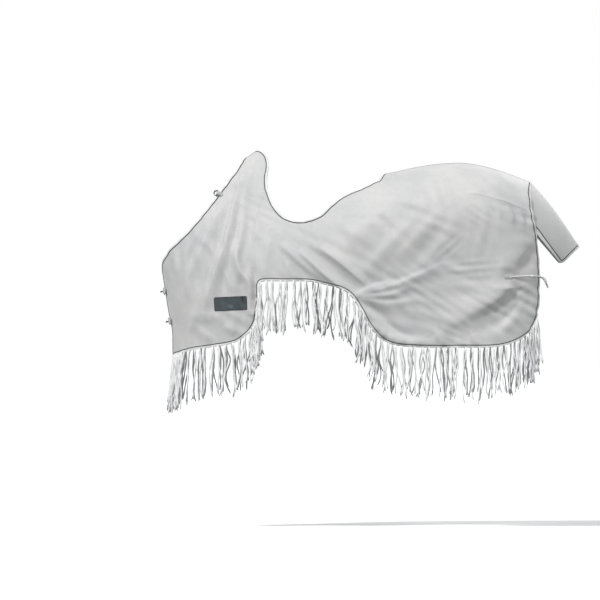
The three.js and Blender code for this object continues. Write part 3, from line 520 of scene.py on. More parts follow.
def tubes(name, rings, finish, closed=False):
    """Pieces of tube from rings shaped [tube, ring, corner, 3], with capped ends, or one
    closed tube. UV runs along in metres and round in shares."""
    rings = np.asarray(rings)
    if rings.ndim == 3:
        rings = rings[None]
    count, length, sides, _ = rings.shape
    run = np.linalg.norm(np.diff(rings.mean(2), axis=1), axis=2)
    run = np.concatenate([np.zeros((count, 1)), np.cumsum(run, 1)], 1) * MM
    faces, row, col = cells(length, sides, wrap=True)
    starts = np.arange(count)[:, None, None] * length * sides
    quads = (faces[None] + starts).reshape(-1, 4)
    uv = np.stack([run[:, row], np.broadcast_to(col / sides, (count,) + col.shape)], -1)
    parts, coords = [quads], [uv.reshape(-1, 2)]
    if closed:
        a = np.arange(sides)
        b = (a + 1) % sides
        last = (length - 1) * sides
        parts.append(np.stack([last + a, last + b, b, a], -1))
        coords.append(np.zeros((sides * 4, 2)))
    else:
        cap = np.arange(sides)
        for ring, order in ((0, cap), (length - 1, cap[::-1])):
            parts.append(ring * sides + order[None] + starts[:, 0])
            coords.append(np.stack([np.repeat(run[:, ring], sides),
                                    np.tile(order / sides, count)], -1))
    faces = [face for part in parts for face in part.tolist()]
    return mesh(name, rings, faces, finish, np.concatenate(coords))


def rope_radius(run, sides, radius, plies, turn, groove=0.22):
    """Radius round a twisted cord: the plies stand out and turn once in each length turn."""
    angle = np.arange(sides) * 2 * math.pi / sides
    phase = 2 * math.pi * run / turn
    lobe = np.abs(np.cos((angle[None, :] - phase[:, None]) * plies / 2))
    return radius * (1 - groove + groove * lobe)


def band(name, rows, finish):
    """A closed strip from rows of points shaped [station, corner, 3], whose corners go round
    its section, with a face at each end."""
    count, corners, _ = rows.shape
    faces, row, col = cells(count, corners, wrap=True)
    run = lengths(rows.mean(1)) * MM
    girth = np.linalg.norm(np.roll(rows, -1, 1) - rows, axis=2).mean(0)
    across = np.concatenate([[0], np.cumsum(girth)]) * MM
    coords = np.stack([run[row], across[col]], -1)
    last = (count - 1) * corners
    ends = [list(range(corners))[::-1], list(range(last, last + corners))]
    tail = np.zeros((2 * corners, 2))
    return mesh(name, rows, faces.tolist() + ends, finish,
                np.concatenate([coords.reshape(-1, 2), tail]))


def stitch_rings(path, up, long=3.0, gap=1.6, thick=0.42):
    """A row of stitches along a path: equal spindles of four rings with four corners."""
    run = lengths(path)
    count = max(2, int(run[-1] / (long + gap)))
    middle = (np.arange(count) + 0.5) * run[-1] / count
    at = middle[:, None] + np.array([-0.5, -0.28, 0.28, 0.5]) * long
    line = np.stack([np.interp(at, run, column) for column in path.T], -1)
    lean = np.stack([np.interp(at, run, column) for column in up.T], -1)
    radius = np.array([0.25, 1.0, 1.0, 0.25])[None, :, None] * thick
    return tube_points(line, lean, radius, 4)


def stitches(name, path, up, *sizes):
    """One row of stitches in pale thread."""
    return tubes(name, stitch_rings(path, up, *sizes), PALE_THREAD)


# ---- finishes -------------------------------------------------------------------------------
class Finish:
    """A material being made: its nodes are added and joined with short calls."""

    def __init__(self, name, roughness, metallic=0.0, **sockets):
        self.material = bpy.data.materials.new(name)
        self.material.use_nodes = True
        self.tree = self.material.node_tree
        self.shader = self.tree.nodes["Principled BSDF"]
        self.shader.inputs["Roughness"].default_value = roughness
        self.shader.inputs["Metallic"].default_value = metallic
        for socket, value in sockets.items():
            self.shader.inputs[socket.replace("_", " ")].default_value = value

    def node(self, kind, inputs=None, **settings):
        """A node with its settings, and each input either a number or another's output."""
        made = self.tree.nodes.new(kind)
        for key, value in settings.items():
            setattr(made, key, value)
        for key, value in (inputs or {}).items():
            if isinstance(value, bpy.types.NodeSocket):
                self.tree.links.new(value, made.inputs[key])
            else:
                made.inputs[key].default_value = value
        return made

    def place(self, source="Object", scale=(1, 1, 1), turn=0.0):
        """Coordinates from the object or the lay of the cloth, scaled and turned."""
        where = self.node("ShaderNodeTexCoord")
        return self.node("ShaderNodeMapping", {"Vector": where.outputs[source], "Scale": scale,
                                               "Rotation": (0, 0, turn)}).outputs[0]

    def noise(self, vector, scale, detail=3.0, roughness=0.5):
        """Cloudy values from nought to one, with scale clouds in a metre."""
        return self.node("ShaderNodeTexNoise", {"Vector": vector, "Scale": scale,
                                                "Detail": detail,
                                                "Roughness": roughness}).outputs[0]

    def waves(self, vector, pitch, direction="X"):
        """Even ridges, one in each pitch metres across. The node has 20 waves in 2 pi."""
        return self.node("ShaderNodeTexWave",
                         {"Vector": vector, "Scale": 2 * math.pi / 20 / pitch},
                         bands_direction=direction).outputs[1]

    def math(self, operation, a, b=0.0):
        """One number from two."""
        return self.node("ShaderNodeMath", {0: a, 1: b}, operation=operation).outputs[0]

    def between(self, factor, low, high, span=(0.0, 1.0)):
        """A colour that goes from low to high as the factor crosses the span."""
        ramp = self.node("ShaderNodeValToRGB", {0: factor})
        for stop, where, colour in zip(ramp.color_ramp.elements, span, (low, high)):
            stop.position = where
            stop.color = (*colour, 1)
        return ramp.outputs[0]

    def times(self, a, b, share=1.0):
        """One colour multiplied into another by a share."""
        return self.node("ShaderNodeMix", {0: share, 6: a, 7: b}, data_type="RGBA",
                         blend_type="MULTIPLY").outputs[2]

    def relief(self, height, strength, depth, below=None):
        """Bump from a height, on top of another bump if one is given."""
        inputs = {"Height": height, "Strength": strength, "Distance": depth}
        if below is not None:
            inputs["Normal"] = below
        return self.node("ShaderNodeBump", inputs).outputs[0]

    def done(self, colour, normal, roughness=None):
        """The material, with its colour, bump and roughness joined to its shader."""
        joins = {"Base Color": colour, "Normal": normal, "Roughness": roughness}
        for socket, value in joins.items():
            if value is not None:
                self.tree.links.new(value, self.shader.inputs[socket])
        return self.material


def grey(value, warmth=0.0):
    """A nearly neutral colour: redder when warmth is positive, bluer when negative."""
    return (value * (1 + warmth), value, value * (1 - warmth))


def rough_range(f, factor, low, high):
    """Roughness between two values as the factor goes from nought to one."""
    return f.node("ShaderNodeMapRange", {0: factor, 3: low, 4: high}).outputs[0]


def fly_mesh():
    """Silver grey fly cloth: a fine square mesh of threads, its colour a little uneven from
    place to place and duller in the openings of the mesh."""
    f = Finish("fly_mesh", 0.62, Sheen_Weight=0.25, Sheen_Roughness=0.5)
    lay = f.place("UV")
    threads = f.math("MAXIMUM", f.waves(lay, 0.0016), f.waves(lay, 0.0016, "Y"))
    slubs = f.noise(f.place("UV", (30, 900, 1)), 1.0, 2)
    tone = f.between(f.noise(f.place(), 5.0, 4), grey(0.42, -0.004), grey(0.495, 0.010),
                     (0.3, 0.7))
    worn = f.between(f.noise(f.place(), 46.0, 5, 0.65), grey(0.93), grey(1.0), (0.3, 0.6))
    open_ = f.between(threads, grey(0.86), grey(1.0), (0.15, 0.6))
    colour = f.times(f.times(tone, worn, 0.8), open_)
    bump = f.relief(threads, 0.35, 0.0003)
    bump = f.relief(slubs, 0.12, 0.0004, bump)
    bump = f.relief(f.noise(f.place(), 70.0, 4, 0.6), 0.14, 0.0016, bump)
    return f.done(colour, bump, rough_range(f, slubs, 0.55, 0.75))


def woven_tape(name, light, dark):
    """Woven tape: twill ridges aslant across it, faintly soiled in patches."""
    f = Finish(name, 0.6, Sheen_Weight=0.2)
    twill = f.waves(f.place("UV", turn=0.9), 0.0011)
    tone = f.between(f.noise(f.place(), 24.0, 4), grey(dark, -0.004), grey(light, 0.004),
                     (0.3, 0.7))
    colour = f.times(tone, f.between(twill, grey(0.84), grey(1.0)))
    return f.done(colour, f.relief(twill, 0.5, 0.0003), rough_range(f, twill, 0.5, 0.7))


def piping_cord():
    """Dark charcoal twisted cord: fibres run with the twist, paler where they are rubbed."""
    f = Finish("piping_cord", 0.75, Sheen_Weight=0.15)
    fibres = f.noise(f.place("UV", (260, 14, 1)), 1.0, 3)
    rubbed = f.noise(f.place(), 60.0, 4)
    tone = f.between(rubbed, grey(0.035, -0.03), grey(0.085, 0.0), (0.35, 0.75))
    colour = f.times(tone, f.between(fibres, grey(0.6), grey(1.0), (0.3, 0.65)))
    return f.done(colour, f.relief(fibres, 0.6, 0.0005), rough_range(f, rubbed, 0.65, 0.85))


def soft_cord(name, light, dark):
    """Soft pale cord: plies wind round it aslant, with loose fibres and uneven tone."""
    f = Finish(name, 0.7, Sheen_Weight=0.35, Sheen_Roughness=0.45)
    plies = f.waves(f.place("UV", (1, 0.009, 1), 0.79), 0.0032)
    fibres = f.noise(f.place("UV", (420, 9, 1)), 1.0, 3)
    tone = f.between(f.noise(f.place(), 38.0, 3), grey(dark, -0.01), grey(light, 0.004),
                     (0.3, 0.62))
    colour = f.times(tone, f.between(plies, grey(0.84), grey(1.0), (0.1, 0.6)))
    bump = f.relief(plies, 0.55, 0.0009)
    return f.done(colour, f.relief(fibres, 0.3, 0.0004, bump), rough_range(f, fibres, 0.6, 0.8))


def slate_cloth(name, colour_low, colour_high, pitch):
    """Close dark weave of the name patch or its border, a little faded in places."""
    f = Finish(name, 0.6, Sheen_Weight=0.08)
    lay = f.place("UV")
    weave = f.math("MAXIMUM", f.waves(lay, pitch), f.waves(lay, pitch, "Y"))
    tone = f.between(f.noise(f.place(), 40.0, 4), colour_low, colour_high, (0.3, 0.7))
    colour = f.times(tone, f.between(weave, grey(0.7), grey(1.0), (0.1, 0.7)))
    return f.done(colour, f.relief(weave, 0.4, 0.0003), rough_range(f, weave, 0.5, 0.7))


def webbing():
    """Pale grey strap webbing: ribs across, finer yarns along."""
    f = Finish("webbing", 0.65, Sheen_Weight=0.15)
    lay = f.place("UV")
    ribs = f.math("MULTIPLY", f.waves(lay, 0.0019), f.waves(lay, 0.0013, "Y"))
    tone = f.between(f.noise(f.place(), 50.0, 4), grey(0.42, -0.004), grey(0.56, 0.004),
                     (0.3, 0.7))
    colour = f.times(tone, f.between(ribs, grey(0.66), grey(1.0), (0.0, 0.5)))
    return f.done(colour, f.relief(ribs, 0.6, 0.0005), rough_range(f, ribs, 0.55, 0.75))


def pale_thread():
    """Sewing thread: two plies wound round each other."""
    f = Finish("pale_thread", 0.55, Sheen_Weight=0.2)
    plies = f.waves(f.place("UV", (1, 0.002, 1), 0.7), 0.0009)
    colour = f.between(plies, grey(0.462), grey(0.66))
    return f.done(colour, f.relief(plies, 0.4, 0.0002))


def gunmetal():
    """Dark plated metal: brushed faintly, with the plating rubbed paler in spots."""
    f = Finish("gunmetal", 0.3, 0.9)
    rubbed = f.noise(f.place(), 320.0, 5, 0.6)
    brushed = f.noise(f.place("Object", (2600, 160, 160)), 1.0, 2)
    colour = f.between(rubbed, (0.045, 0.048, 0.053), (0.19, 0.19, 0.195), (0.42, 0.78))
    return f.done(colour, f.relief(brushed, 0.12, 0.0002), rough_range(f, rubbed, 0.24, 0.46))


MESH_CLOTH, PIPING_CORD = fly_mesh(), piping_cord()
EDGE_TAPE = woven_tape("edge_tape", 0.71, 0.60)
SPINE_TAPE = woven_tape("spine_tape", 0.52, 0.45)
FRINGE_CORD = soft_cord("fringe_cord", 0.82, 0.64)
TAIL_CORD_YARN = soft_cord("tail_cord_yarn", 0.80, 0.66)
PATCH_CLOTH = slate_cloth("patch_cloth", (0.026, 0.037, 0.044), (0.040, 0.053, 0.062), 0.0009)
PATCH_BORDER = slate_cloth("patch_border", (0.022, 0.030, 0.037), (0.038, 0.050, 0.060), 0.0007)
WEBBING, GUNMETAL, PALE_THREAD = webbing(), gunmetal(), pale_thread()


# ---- riding, standing in for the CAD --------------------------------------------------------
def fitted(piece, body, slot, *nodes, bend=None):
    """A finished piece stands for its CAD nodes. It rides on its body, or, when the two places
    of bend are given, keeps its place baked into its points; it is not bent."""
    if nodes:
        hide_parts(*nodes)
    if bend:
        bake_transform(piece)
    else:
        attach(piece, body)
    return piece


# ---- cloth panels ---------------------------------------------------------------------------
CLOTH_LIFT = 1.4
CLOTH_THICK = 1.2
UNDER_TAPE = 5.0               # how far inside the edge the cloth ends, within its tape


def filled(top, bottom, front, rear):
    """Grid between four lines: the two rulings added, less the corners' bilinear sheet."""
    u = np.linspace(0, 1, len(top))[None, :, None]
    v = np.linspace(0, 1, len(front))[:, None, None]
    ruled = top[None] * (1 - v) + bottom[None] * v
    across = front[:, None] * (1 - u) + rear[:, None] * u
    flat = ((top[0] * (1 - u) + top[-1] * u) * (1 - v)
            + (bottom[0] * (1 - u) + bottom[-1] * u) * v)
    return ruled + across - flat


def seam_line():
    """The shoulder seam, from the cut-out's lowest front corner to the head of the step."""
    head = inset(CUT_OUT, CUT_WAYS, UNDER_TAPE)[len(CUT_FRONT) - 1]
    foot = inset(EDGE, EDGE_WAYS, UNDER_TAPE)[STEP_HEAD_AT]
    return curve_through([head, on_form([(-19, -352)])[0], foot], 40)


SEAM = seam_line()


def panel_grids():
    """Pairs of the shoulder and body panels, with their outlines just inside the tape."""
    edge = inset(EDGE, EDGE_WAYS, UNDER_TAPE)
    cut = inset(CUT_OUT, CUT_WAYS, UNDER_TAPE)
    chest_foot, rear_corner = STRETCHES["chest"][1], STRETCHES["hem"][1]
    front_cut, back_cut = cut[:len(CUT_FRONT)], cut[len(CUT_FRONT) - 1:]
    ridge = np.stack([cut[-1], edge[-1]])
    rows, cols = 190, 110
    shoulder = filled(
        respaced(np.stack([edge[0], cut[0]]), cols),
        respaced(edge[chest_foot:STEP_FOOT_AT + 1], cols),
        respaced(edge[:chest_foot + 1], rows),
        respaced(np.concatenate([front_cut, SEAM[1:],
                                 edge[STEP_FOOT_AT:STEP_HEAD_AT][::-1]]), rows))
    rows, cols = 150, 240
    body = filled(
        respaced(np.concatenate([back_cut, respaced(ridge, 60)[1:]]), cols),
        respaced(edge[STEP_HEAD_AT:rear_corner + 1], cols),
        respaced(SEAM, rows),
        respaced(edge[rear_corner:][::-1], rows))
    return {"shoulder_panel": shoulder, "body_panel": body}


def sheet_mesh(name, points, uv, away):
    """An open sheet whose faces look along away, then given its thickness on both sides,
    and its area in square metres: half the cross product of each cell's diagonals."""
    faces, _, _ = cells(*points.shape[:2])
    a, b, c, d = points.reshape(-1, 3)[faces].transpose(1, 0, 2)
    normal = np.cross(c - a, d - b)
    if (normal * away.reshape(-1, 3)[faces[:, 0]]).sum() < 0:
        faces = faces[:, ::-1]
    coords = uv.reshape(-1, 2)[faces].reshape(-1, 2)
    piece = mesh(name, points, faces.tolist(), MESH_CLOTH, coords, shell=False)
    wall = piece.modifiers.new("thickness", "SOLIDIFY")
    wall.thickness, wall.offset = CLOTH_THICK * MM, 0
    area = np.linalg.norm(normal, axis=1).sum() / 2 * MM * MM
    return piece, area


def add_panels():
    """The four panels, each with the span of its pairs, as its flat size, and its area."""
    made = {}
    for kind, pairs in panel_grids().items():
        span = (pairs.max((0, 1)) - pairs.min((0, 1))) * MM
        for name, side in SIDES:
            panel = f"{kind}_{name}"
            piece, area = sheet_mesh(panel, cloth(pairs, side, CLOTH_LIFT), pairs * MM,
                                     outward(pairs, side))
            made[panel] = (fitted(piece, "sheet", "fly_mesh", panel), span, area)
    return made


# ---- tapes, piping and seams ----------------------------------------------------------------
TAPE_SECTION = [(-0.4, 1.2), (-0.1, 2.3), (0.9, 2.9), (3.0, 3.15), (6.0, 3.05), (8.2, 2.8),
                (9.0, 2.3), (9.0, 0.5), (8.0, -0.1), (4.5, -0.3), (1.0, -0.1), (-0.2, 0.4)]
PIPING_IN = 11.1               # the cord's middle, from the edge
PIPING_LIFT = 2.7
PIPING_RADIUS, PIPING_TURN = 2.0, 9.0
STITCH_IN = 7.3
STITCH_LIFT = 3.05


def strip(line, ways, side, section):
    """Rows of a section carried along an edge: each corner is an inset and a lift."""
    widths, lifts = np.array(section).T
    pairs = np.maximum(line[:, None] + ways[:, None] * widths[None, :, None], 0)
    return cloth(pairs, side, lifts[None, :])


def run_at(line, ways, side, width, lift, step=None):
    """Places along an edge at one inset and lift, and the outward directions there."""
    pairs = inset(line, ways, width)
    if step:
        pairs = respaced(pairs, max(3, int(lengths(pairs)[-1] / step)))
    return cloth(pairs, side, lift), outward(pairs, side)


def edging(stretch, name, side, line, ways):
    """The tape, the twisted piping inside it, and the tape's row of stitches."""
    tape = band(f"{stretch}_binding_{name}", strip(line, ways, side, TAPE_SECTION), EDGE_TAPE)
    path, up = run_at(line, ways, side, PIPING_IN, PIPING_LIFT, 1.7)
    radius = rope_radius(lengths(path), 8, PIPING_RADIUS, 2, PIPING_TURN)
    cord = tubes(f"{stretch}_piping_{name}", tube_points(path, up, radius, 8), PIPING_CORD)
    path, up = run_at(line, ways, side, STITCH_IN, STITCH_LIFT)
    sewn = stitches(f"{stretch}_stitching_{name}", path, up)
    return [fitted(tape, "sheet", "edge_tape", f"{stretch}_binding_{name}"),
            fitted(cord, "sheet", "piping_cord", f"{stretch}_piping_{name}"),
            fitted(sewn, "sheet", "edge_tape")]


def add_edgings():
    """All edges' tapes, piping and stitches, listed by the panel that owns them."""
    made = {"shoulder": [], "body": []}
    for name, side in SIDES:
        for stretch, (start, end) in STRETCHES.items():
            pieces = edging(stretch, name, side, EDGE[start:end + 1], EDGE_WAYS[start:end + 1])
            owner = "shoulder" if stretch in ("neck", "chest") else "body"
            made[owner] += pieces
        made["body"] += edging("cutout", name, side, CUT_OUT, CUT_WAYS)
    return made


def welt(name, pairs, side, half, height, rows_of_stitches):
    """A folded seam on the cloth: a low crowned strip along a line, with its stitches."""
    ahead = unit(np.gradient(pairs, axis=0))
    ways = np.stack([ahead[:, 1], -ahead[:, 0]], -1)
    low = CLOTH_LIFT + 0.2
    section = [(-half, low), (-half * 0.8, low + height * 0.8), (0, low + height),
               (half * 0.8, low + height * 0.8), (half, low), (0, low - 0.4)]
    piece = band(name, strip(pairs, ways, side, section), MESH_CLOTH)
    sewn = []
    for k, width in enumerate(rows_of_stitches):
        path, up = run_at(pairs, ways, side, width, low + height * 0.95)
        sewn.append(stitches(f"{name}_stitching_{k + 1}", path, up, 2.8, 1.5))
    return [fitted(p, "sheet", "fly_mesh") for p in [piece] + sewn]


def add_seams():
    """The felled shoulder seam and the croup's dart, on both halves."""
    made = []
    for name, side in SIDES:
        shoulder = respaced(SEAM, 90, 3, 3)
        made += welt(f"shoulder_seam_{name}", shoulder, side, 4.2, 0.9, (-2.6, 2.6))
        made += welt(f"croup_dart_{name}", drawn(DART, 4.0), side, 3.4, 1.3, (2.3,))
    return made


SPINE_OFFSETS = np.array([12, 11.2, 6, 0.0])           # from the tape's edge to its middle
SPINE_TOP, SPINE_UNDER = np.array([2.5, 3.7, 3.9, 3.9]), 2.2
SPINE_SHORT, SPINE_SHORT_REAR = 13, 15                 # ends under the edges' own tapes
SPINE_STITCH_AT, SPINE_STITCH_LIFT = 9.6, 3.95


def add_spine_tapes():
    """Tapes over the centre seam: their section spans both halves and meets on the line."""
    spans = {"withers_tape": (EDGE[0, 0] + SPINE_SHORT, CUT_OUT[0, 0] - SPINE_SHORT, 14),
             "croup_tape": (CUT_OUT[-1, 0] + SPINE_SHORT, EDGE[-1, 0] - SPINE_SHORT_REAR, 90)}
    for name, (start, end, stations) in spans.items():
        along = np.linspace(start, end, stations)
        pairs = np.stack(np.broadcast_arrays(along[:, None], SPINE_OFFSETS[None]), -1)
        (top_l, low_l), (top_r, low_r) = [
            [cloth(pairs, side, lift) for lift in (SPINE_TOP, SPINE_UNDER)] for _, side in SIDES]
        middle = (top_l[:, 3:] + top_r[:, 3:]) / 2
        under = (low_l[:, 3:] + low_r[:, 3:]) / 2
        rows = np.concatenate([top_l[:, :3], middle, top_r[:, 2::-1], low_r[:, 1:3], under,
                               low_l[:, 2:0:-1]], 1)
        fitted(band(name, rows, SPINE_TAPE), "sheet", "edge_tape", name)
        row = np.stack([along, np.full_like(along, SPINE_STITCH_AT)], -1)
        for side_name, side in SIDES:
            sewn = stitches(f"{name}_stitching_{side_name}",
                            cloth(row, side, SPINE_STITCH_LIFT), outward(row, side))
            fitted(sewn, "sheet", "edge_tape")


# ---- name patch -----------------------------------------------------------------------------
PATCH_AT = (-119, -668)
PATCH_SIZE = (143, 60)
PATCH_TILT = 0.045
PATCH_STATIONS, BORDER_STITCHES = 120, 420
PATCH_TOP = CLOTH_LIFT + 2.2
# The slab's rings: share of the outline and lift.
PATCH_RINGS = [(1, CLOTH_LIFT + 0.5), (1, PATCH_TOP - 0.4), (0.985, PATCH_TOP),
               (0.8, PATCH_TOP), (0.55, PATCH_TOP), (0.3, PATCH_TOP), (0.1, PATCH_TOP)]
# A border stitch's rings: place across the edge, lift and radius.
BORDER_STITCH = [(-1.7, PATCH_TOP - 0.5, 0.35), (-0.9, PATCH_TOP + 0.35, 0.62),
                 (0.9, PATCH_TOP + 0.35, 0.62), (1.7, PATCH_TOP - 0.5, 0.35)]


def rounded_box(width, height, radius, count):
    """Points round a rectangle with quarter-circle corners, at equal steps, as x and y."""
    angle = np.linspace(0, QUARTER, 7)
    corner = radius * np.stack([np.cos(angle), np.sin(angle)], -1)
    parts = []
    for quarter, (sx, sy) in enumerate([(1, 1), (-1, 1), (-1, -1), (1, -1)]):
        turn = quarter * QUARTER
        c, s = math.cos(turn), math.sin(turn)
        spun = corner @ np.array([[c, s], [-s, c]])
        parts.append(spun + [sx * (width / 2 - radius), sy * (height / 2 - radius)])
    loop = np.concatenate(parts + [parts[0][:1]])
    return respaced(loop, count + 1)[:-1]


def on_patch(offsets):
    """Pairs of places offset from the patch's middle, level and upright from the side."""
    flat = np.asarray(offsets, float)
    tilt = np.array([[1, PATCH_TILT], [-PATCH_TILT, 1]])
    return on_form(flat.reshape(-1, 2) @ tilt + PATCH_AT).reshape(flat.shape)


def add_patch():
    """The blank patch: a thin slab with rounded corners on the cloth, and its satin border of
    stitches laid side by side across the edge."""
    shares, lifts = np.array(PATCH_RINGS).T
    flat = rounded_box(*PATCH_SIZE, 5, PATCH_STATIONS) * shares[:, None, None]
    rings = cloth(on_patch(flat), LEFT, lifts[:, None])
    faces, row, col = cells(len(rings), PATCH_STATIONS, wrap=True)
    ends = [list(range(k * PATCH_STATIONS, (k + 1) * PATCH_STATIONS))
            for k in (0, len(rings) - 1)]
    uv = np.concatenate([flat[row, col % PATCH_STATIONS].reshape(-1, 2), flat[0], flat[-1]])
    patch = mesh("name_patch", rings, faces.tolist() + ends, PATCH_CLOTH, uv * MM)
    fitted(patch, "sheet", "name_patch", "name_patch")
    loop = rounded_box(PATCH_SIZE[0] - 3, PATCH_SIZE[1] - 3, 4, BORDER_STITCHES)
    way = unit(np.roll(loop, -1, 0) - np.roll(loop, 1, 0))
    across = np.stack([way[:, 1], -way[:, 0]], -1)
    at, lift, radius = np.array(BORDER_STITCH).T
    pairs = on_patch(loop[:, None] + across[:, None] * at[None, :, None])
    path = cloth(pairs, LEFT, lift[None])
    rings = tube_points(path, outward(pairs, LEFT), radius[None, :, None], 4)
    border = tubes("name_patch_border", rings, PATCH_BORDER)
    fitted(border, "sheet", "name_patch")


# ---- tail flap ------------------------------------------------------------------------------
FLAP_TIP, FLAP_CORNER = (1405, -422), (1326, -497)
FLAP_HALF_WIDTH = 96
FLAP_BULGE = 9
FLAP_ROUND = (0.12, 0.09)      # shares of the two lower corners that are rounded off
FLAP_TUCK = 0.02               # share of the flap under the rear tape
FLAP_REACH, FLAP_SPAN = 215.0, 300.0
FLAP_BEND = (1.222, 0, -0.3), (1.335, 0, -0.3)         # metres


def flap_root():
    """The rear edge over the dock as places in space, from the left lower end to the right."""
    half = bare(respaced(drawn(DOCK, EDGE_STEP), 41), LEFT)
    half[-1, 1] = 0
    return np.concatenate([half, half[-2::-1] * [1, -1, 1]])


FLAP_ROOT = flap_root()


def flap_surface(pair):
    """Ruled from the root to an arch at the free end, blown out by a half sine, with long
    drape waves that grow towards the free end. pair is [across -1..1, out 0..1]."""
    across, out = pair[..., 0], pair[..., 1]
    at = (across + 1) / 2 * (len(FLAP_ROOT) - 1)
    k = np.arange(len(FLAP_ROOT))
    root = np.stack([np.interp(at, k, column) for column in FLAP_ROOT.T], -1)
    angle = across * QUARTER
    c, s = np.cos(angle), np.sin(angle)
    end = np.stack([FLAP_CORNER[0] + (FLAP_TIP[0] - FLAP_CORNER[0]) * c, FLAP_HALF_WIDTH * s,
                    FLAP_CORNER[1] + (FLAP_TIP[1] - FLAP_CORNER[1]) * c], -1)
    away = np.stack([0.7 * c, s, 0.7 * c], -1)
    free = np.clip(out, 0, 1)
    swing = (3.6 * np.sin(5.2 * across + 0.6) + 2.2 * np.sin(11 * across + 1.9 + 2 * out)
             + 1.6 * np.cos(8 * across - 5 * out)) * free ** 1.1
    bulge = FLAP_BULGE * np.sin(math.pi * free) + swing
    return root + (end - root) * out[..., None] + away * bulge[..., None]


def flap_slopes(pair):
    """The flap's direction across and out, per share, by differences."""
    across, out = np.array([0.01, 0.0]), np.array([0.0, 0.01])
    a = (flap_surface(pair + across) - flap_surface(pair - across)) / 0.02
    o = (flap_surface(pair + out) - flap_surface(pair - out)) / 0.02
    return a, o


def flap(pair, lift):
    """A place on the flap raised off its underside."""
    a, o = flap_slopes(np.clip(pair, [-0.98, -0.05], [0.98, 0.99]))
    lift = np.asarray(lift, float)[..., None]
    return flap_surface(pair) + unit(np.cross(o, a)) * lift


def flap_border():
    """Pairs down one lower edge, round the free end and back up the other."""
    ra, ro = FLAP_ROUND
    t = np.linspace(0, QUARTER, 12)
    rise = np.linspace(-FLAP_TUCK, 1 - ro, 50)
    first = np.stack([np.full_like(rise, -1), rise], -1)
    bend = np.stack([-1 + ra - ra * np.cos(t), 1 - ro + ro * np.sin(t)], -1)
    sweep = np.linspace(-1 + ra, 1 - ra, 90)
    end = np.stack([sweep, np.ones_like(sweep)], -1)
    half = np.concatenate([first, bend[1:], end[1:]])
    back = np.concatenate([first, bend[1:]])[-2::-1] * [-1, 1]
    return np.concatenate([half, back])


def flap_inset_ways(border):
    """Pair moved per millimetre inwards: the place's own inward direction in the flap's
    plane, turned into shares by the two slopes."""
    a, o = flap_slopes(border)
    places = flap_surface(border)
    ahead = unit(np.gradient(places, axis=0))
    inward = np.cross(unit(np.cross(o, a)), ahead)
    middle = flap_surface(np.array([[0.0, 0.5]]))[0]
    inward *= np.sign(((middle - places) * inward).sum(-1, keepdims=True))
    aa, oo, ao = (a * a).sum(-1), (o * o).sum(-1), (a * o).sum(-1)
    ia, io = (a * inward).sum(-1), (o * inward).sum(-1)
    det = aa * oo - ao * ao
    return np.stack([(ia * oo - io * ao) / det, (io * aa - ia * ao) / det], -1)


def add_tail_flap():
    """The flap's cloth, its tape and its piping, all built out from the root and baked in place.
    """
    rows, cols = 64, 96
    ra, ro = FLAP_ROUND
    out = np.linspace(-FLAP_TUCK, 1 - UNDER_TAPE / FLAP_REACH, rows)
    drop = np.clip((out - (1 - ro)) / ro, 0, 1)
    reach = 1 - ra * (1 - np.sqrt(1 - drop ** 2)) - 2 * UNDER_TAPE / FLAP_SPAN
    pairs = np.stack([np.linspace(-1, 1, cols)[None] * reach[:, None],
                      np.broadcast_to(out[:, None], (rows, cols))], -1)
    a, o = flap_slopes(pairs)
    uv = pairs * [FLAP_SPAN / 2 * MM, FLAP_REACH * MM]
    points = flap(pairs, np.full(pairs.shape[:2], CLOTH_LIFT))
    sheet, area = sheet_mesh("tail_flap", points, uv, np.cross(o, a))
    border = flap_border()
    ways = flap_inset_ways(border)
    widths, lifts = np.array(TAPE_SECTION).T
    section = border[:, None] + ways[:, None] * widths[None, :, None]
    tape = band("tail_flap_binding", flap(section, np.broadcast_to(lifts, section.shape[:2])),
                EDGE_TAPE)
    spots = border + ways * PIPING_IN
    path = respaced(flap(spots, np.full(len(spots), PIPING_LIFT)), 430)
    middle = path.mean(0) + [-60, 0, -60]
    radius = rope_radius(lengths(path), 8, PIPING_RADIUS, 2, PIPING_TURN)
    rings = tube_points(path, unit(path - middle), radius, 8)
    cord = tubes("tail_flap_piping", rings, PIPING_CORD)
    spots = border + ways * STITCH_IN
    path = flap(spots, np.full(len(spots), STITCH_LIFT))
    sewn = stitches("tail_flap_stitching", path, unit(path - middle))
    for piece, slot, nodes in ((sheet, "fly_mesh", ["tail_flap"]),
                               (tape, "edge_tape", ["tail_flap_binding"]),
                               (cord, "piping_cord", ["tail_flap_piping"]),
                               (sewn, "edge_tape", [])):
        fitted(piece, "tail_flap", slot, *nodes, bend=FLAP_BEND)
    root_length = lengths(FLAP_ROOT)[-1]
    size = np.array([max(root_length, FLAP_SPAN), max(FLAP_REACH, area / root_length / MM / MM)])
    return sheet, size * MM, area, [tape, cord, sewn]


# ---- fringe ---------------------------------------------------------------------------------
FRINGE_PITCH = 31.0
FRINGE_LONG = 226
STRAND_RINGS, STRAND_SIDES = 15, 5
STRAND_RADIUS = 3.2
DENSE_PITCH, TAIL_PITCH, STEP_PITCH = 10.0, 16.0, 13.0  # at the chest, the tail and the step
NEW_GROUP, GATHER_MOST = 0.45, 22      # chance that a root starts a group, most it is drawn in
DRIFT_AT, DRIFT = [-370, -300, -230, -40, 40], [-22, -14, 6, 12, 0]
BEND_BELOW, BEND_LONG = 0.004, 0.06    # a band's bend in metres, under its lowest root
HEM_BANDS = ("chest", "shoulder", "girth", "slant", "flank", "rear")


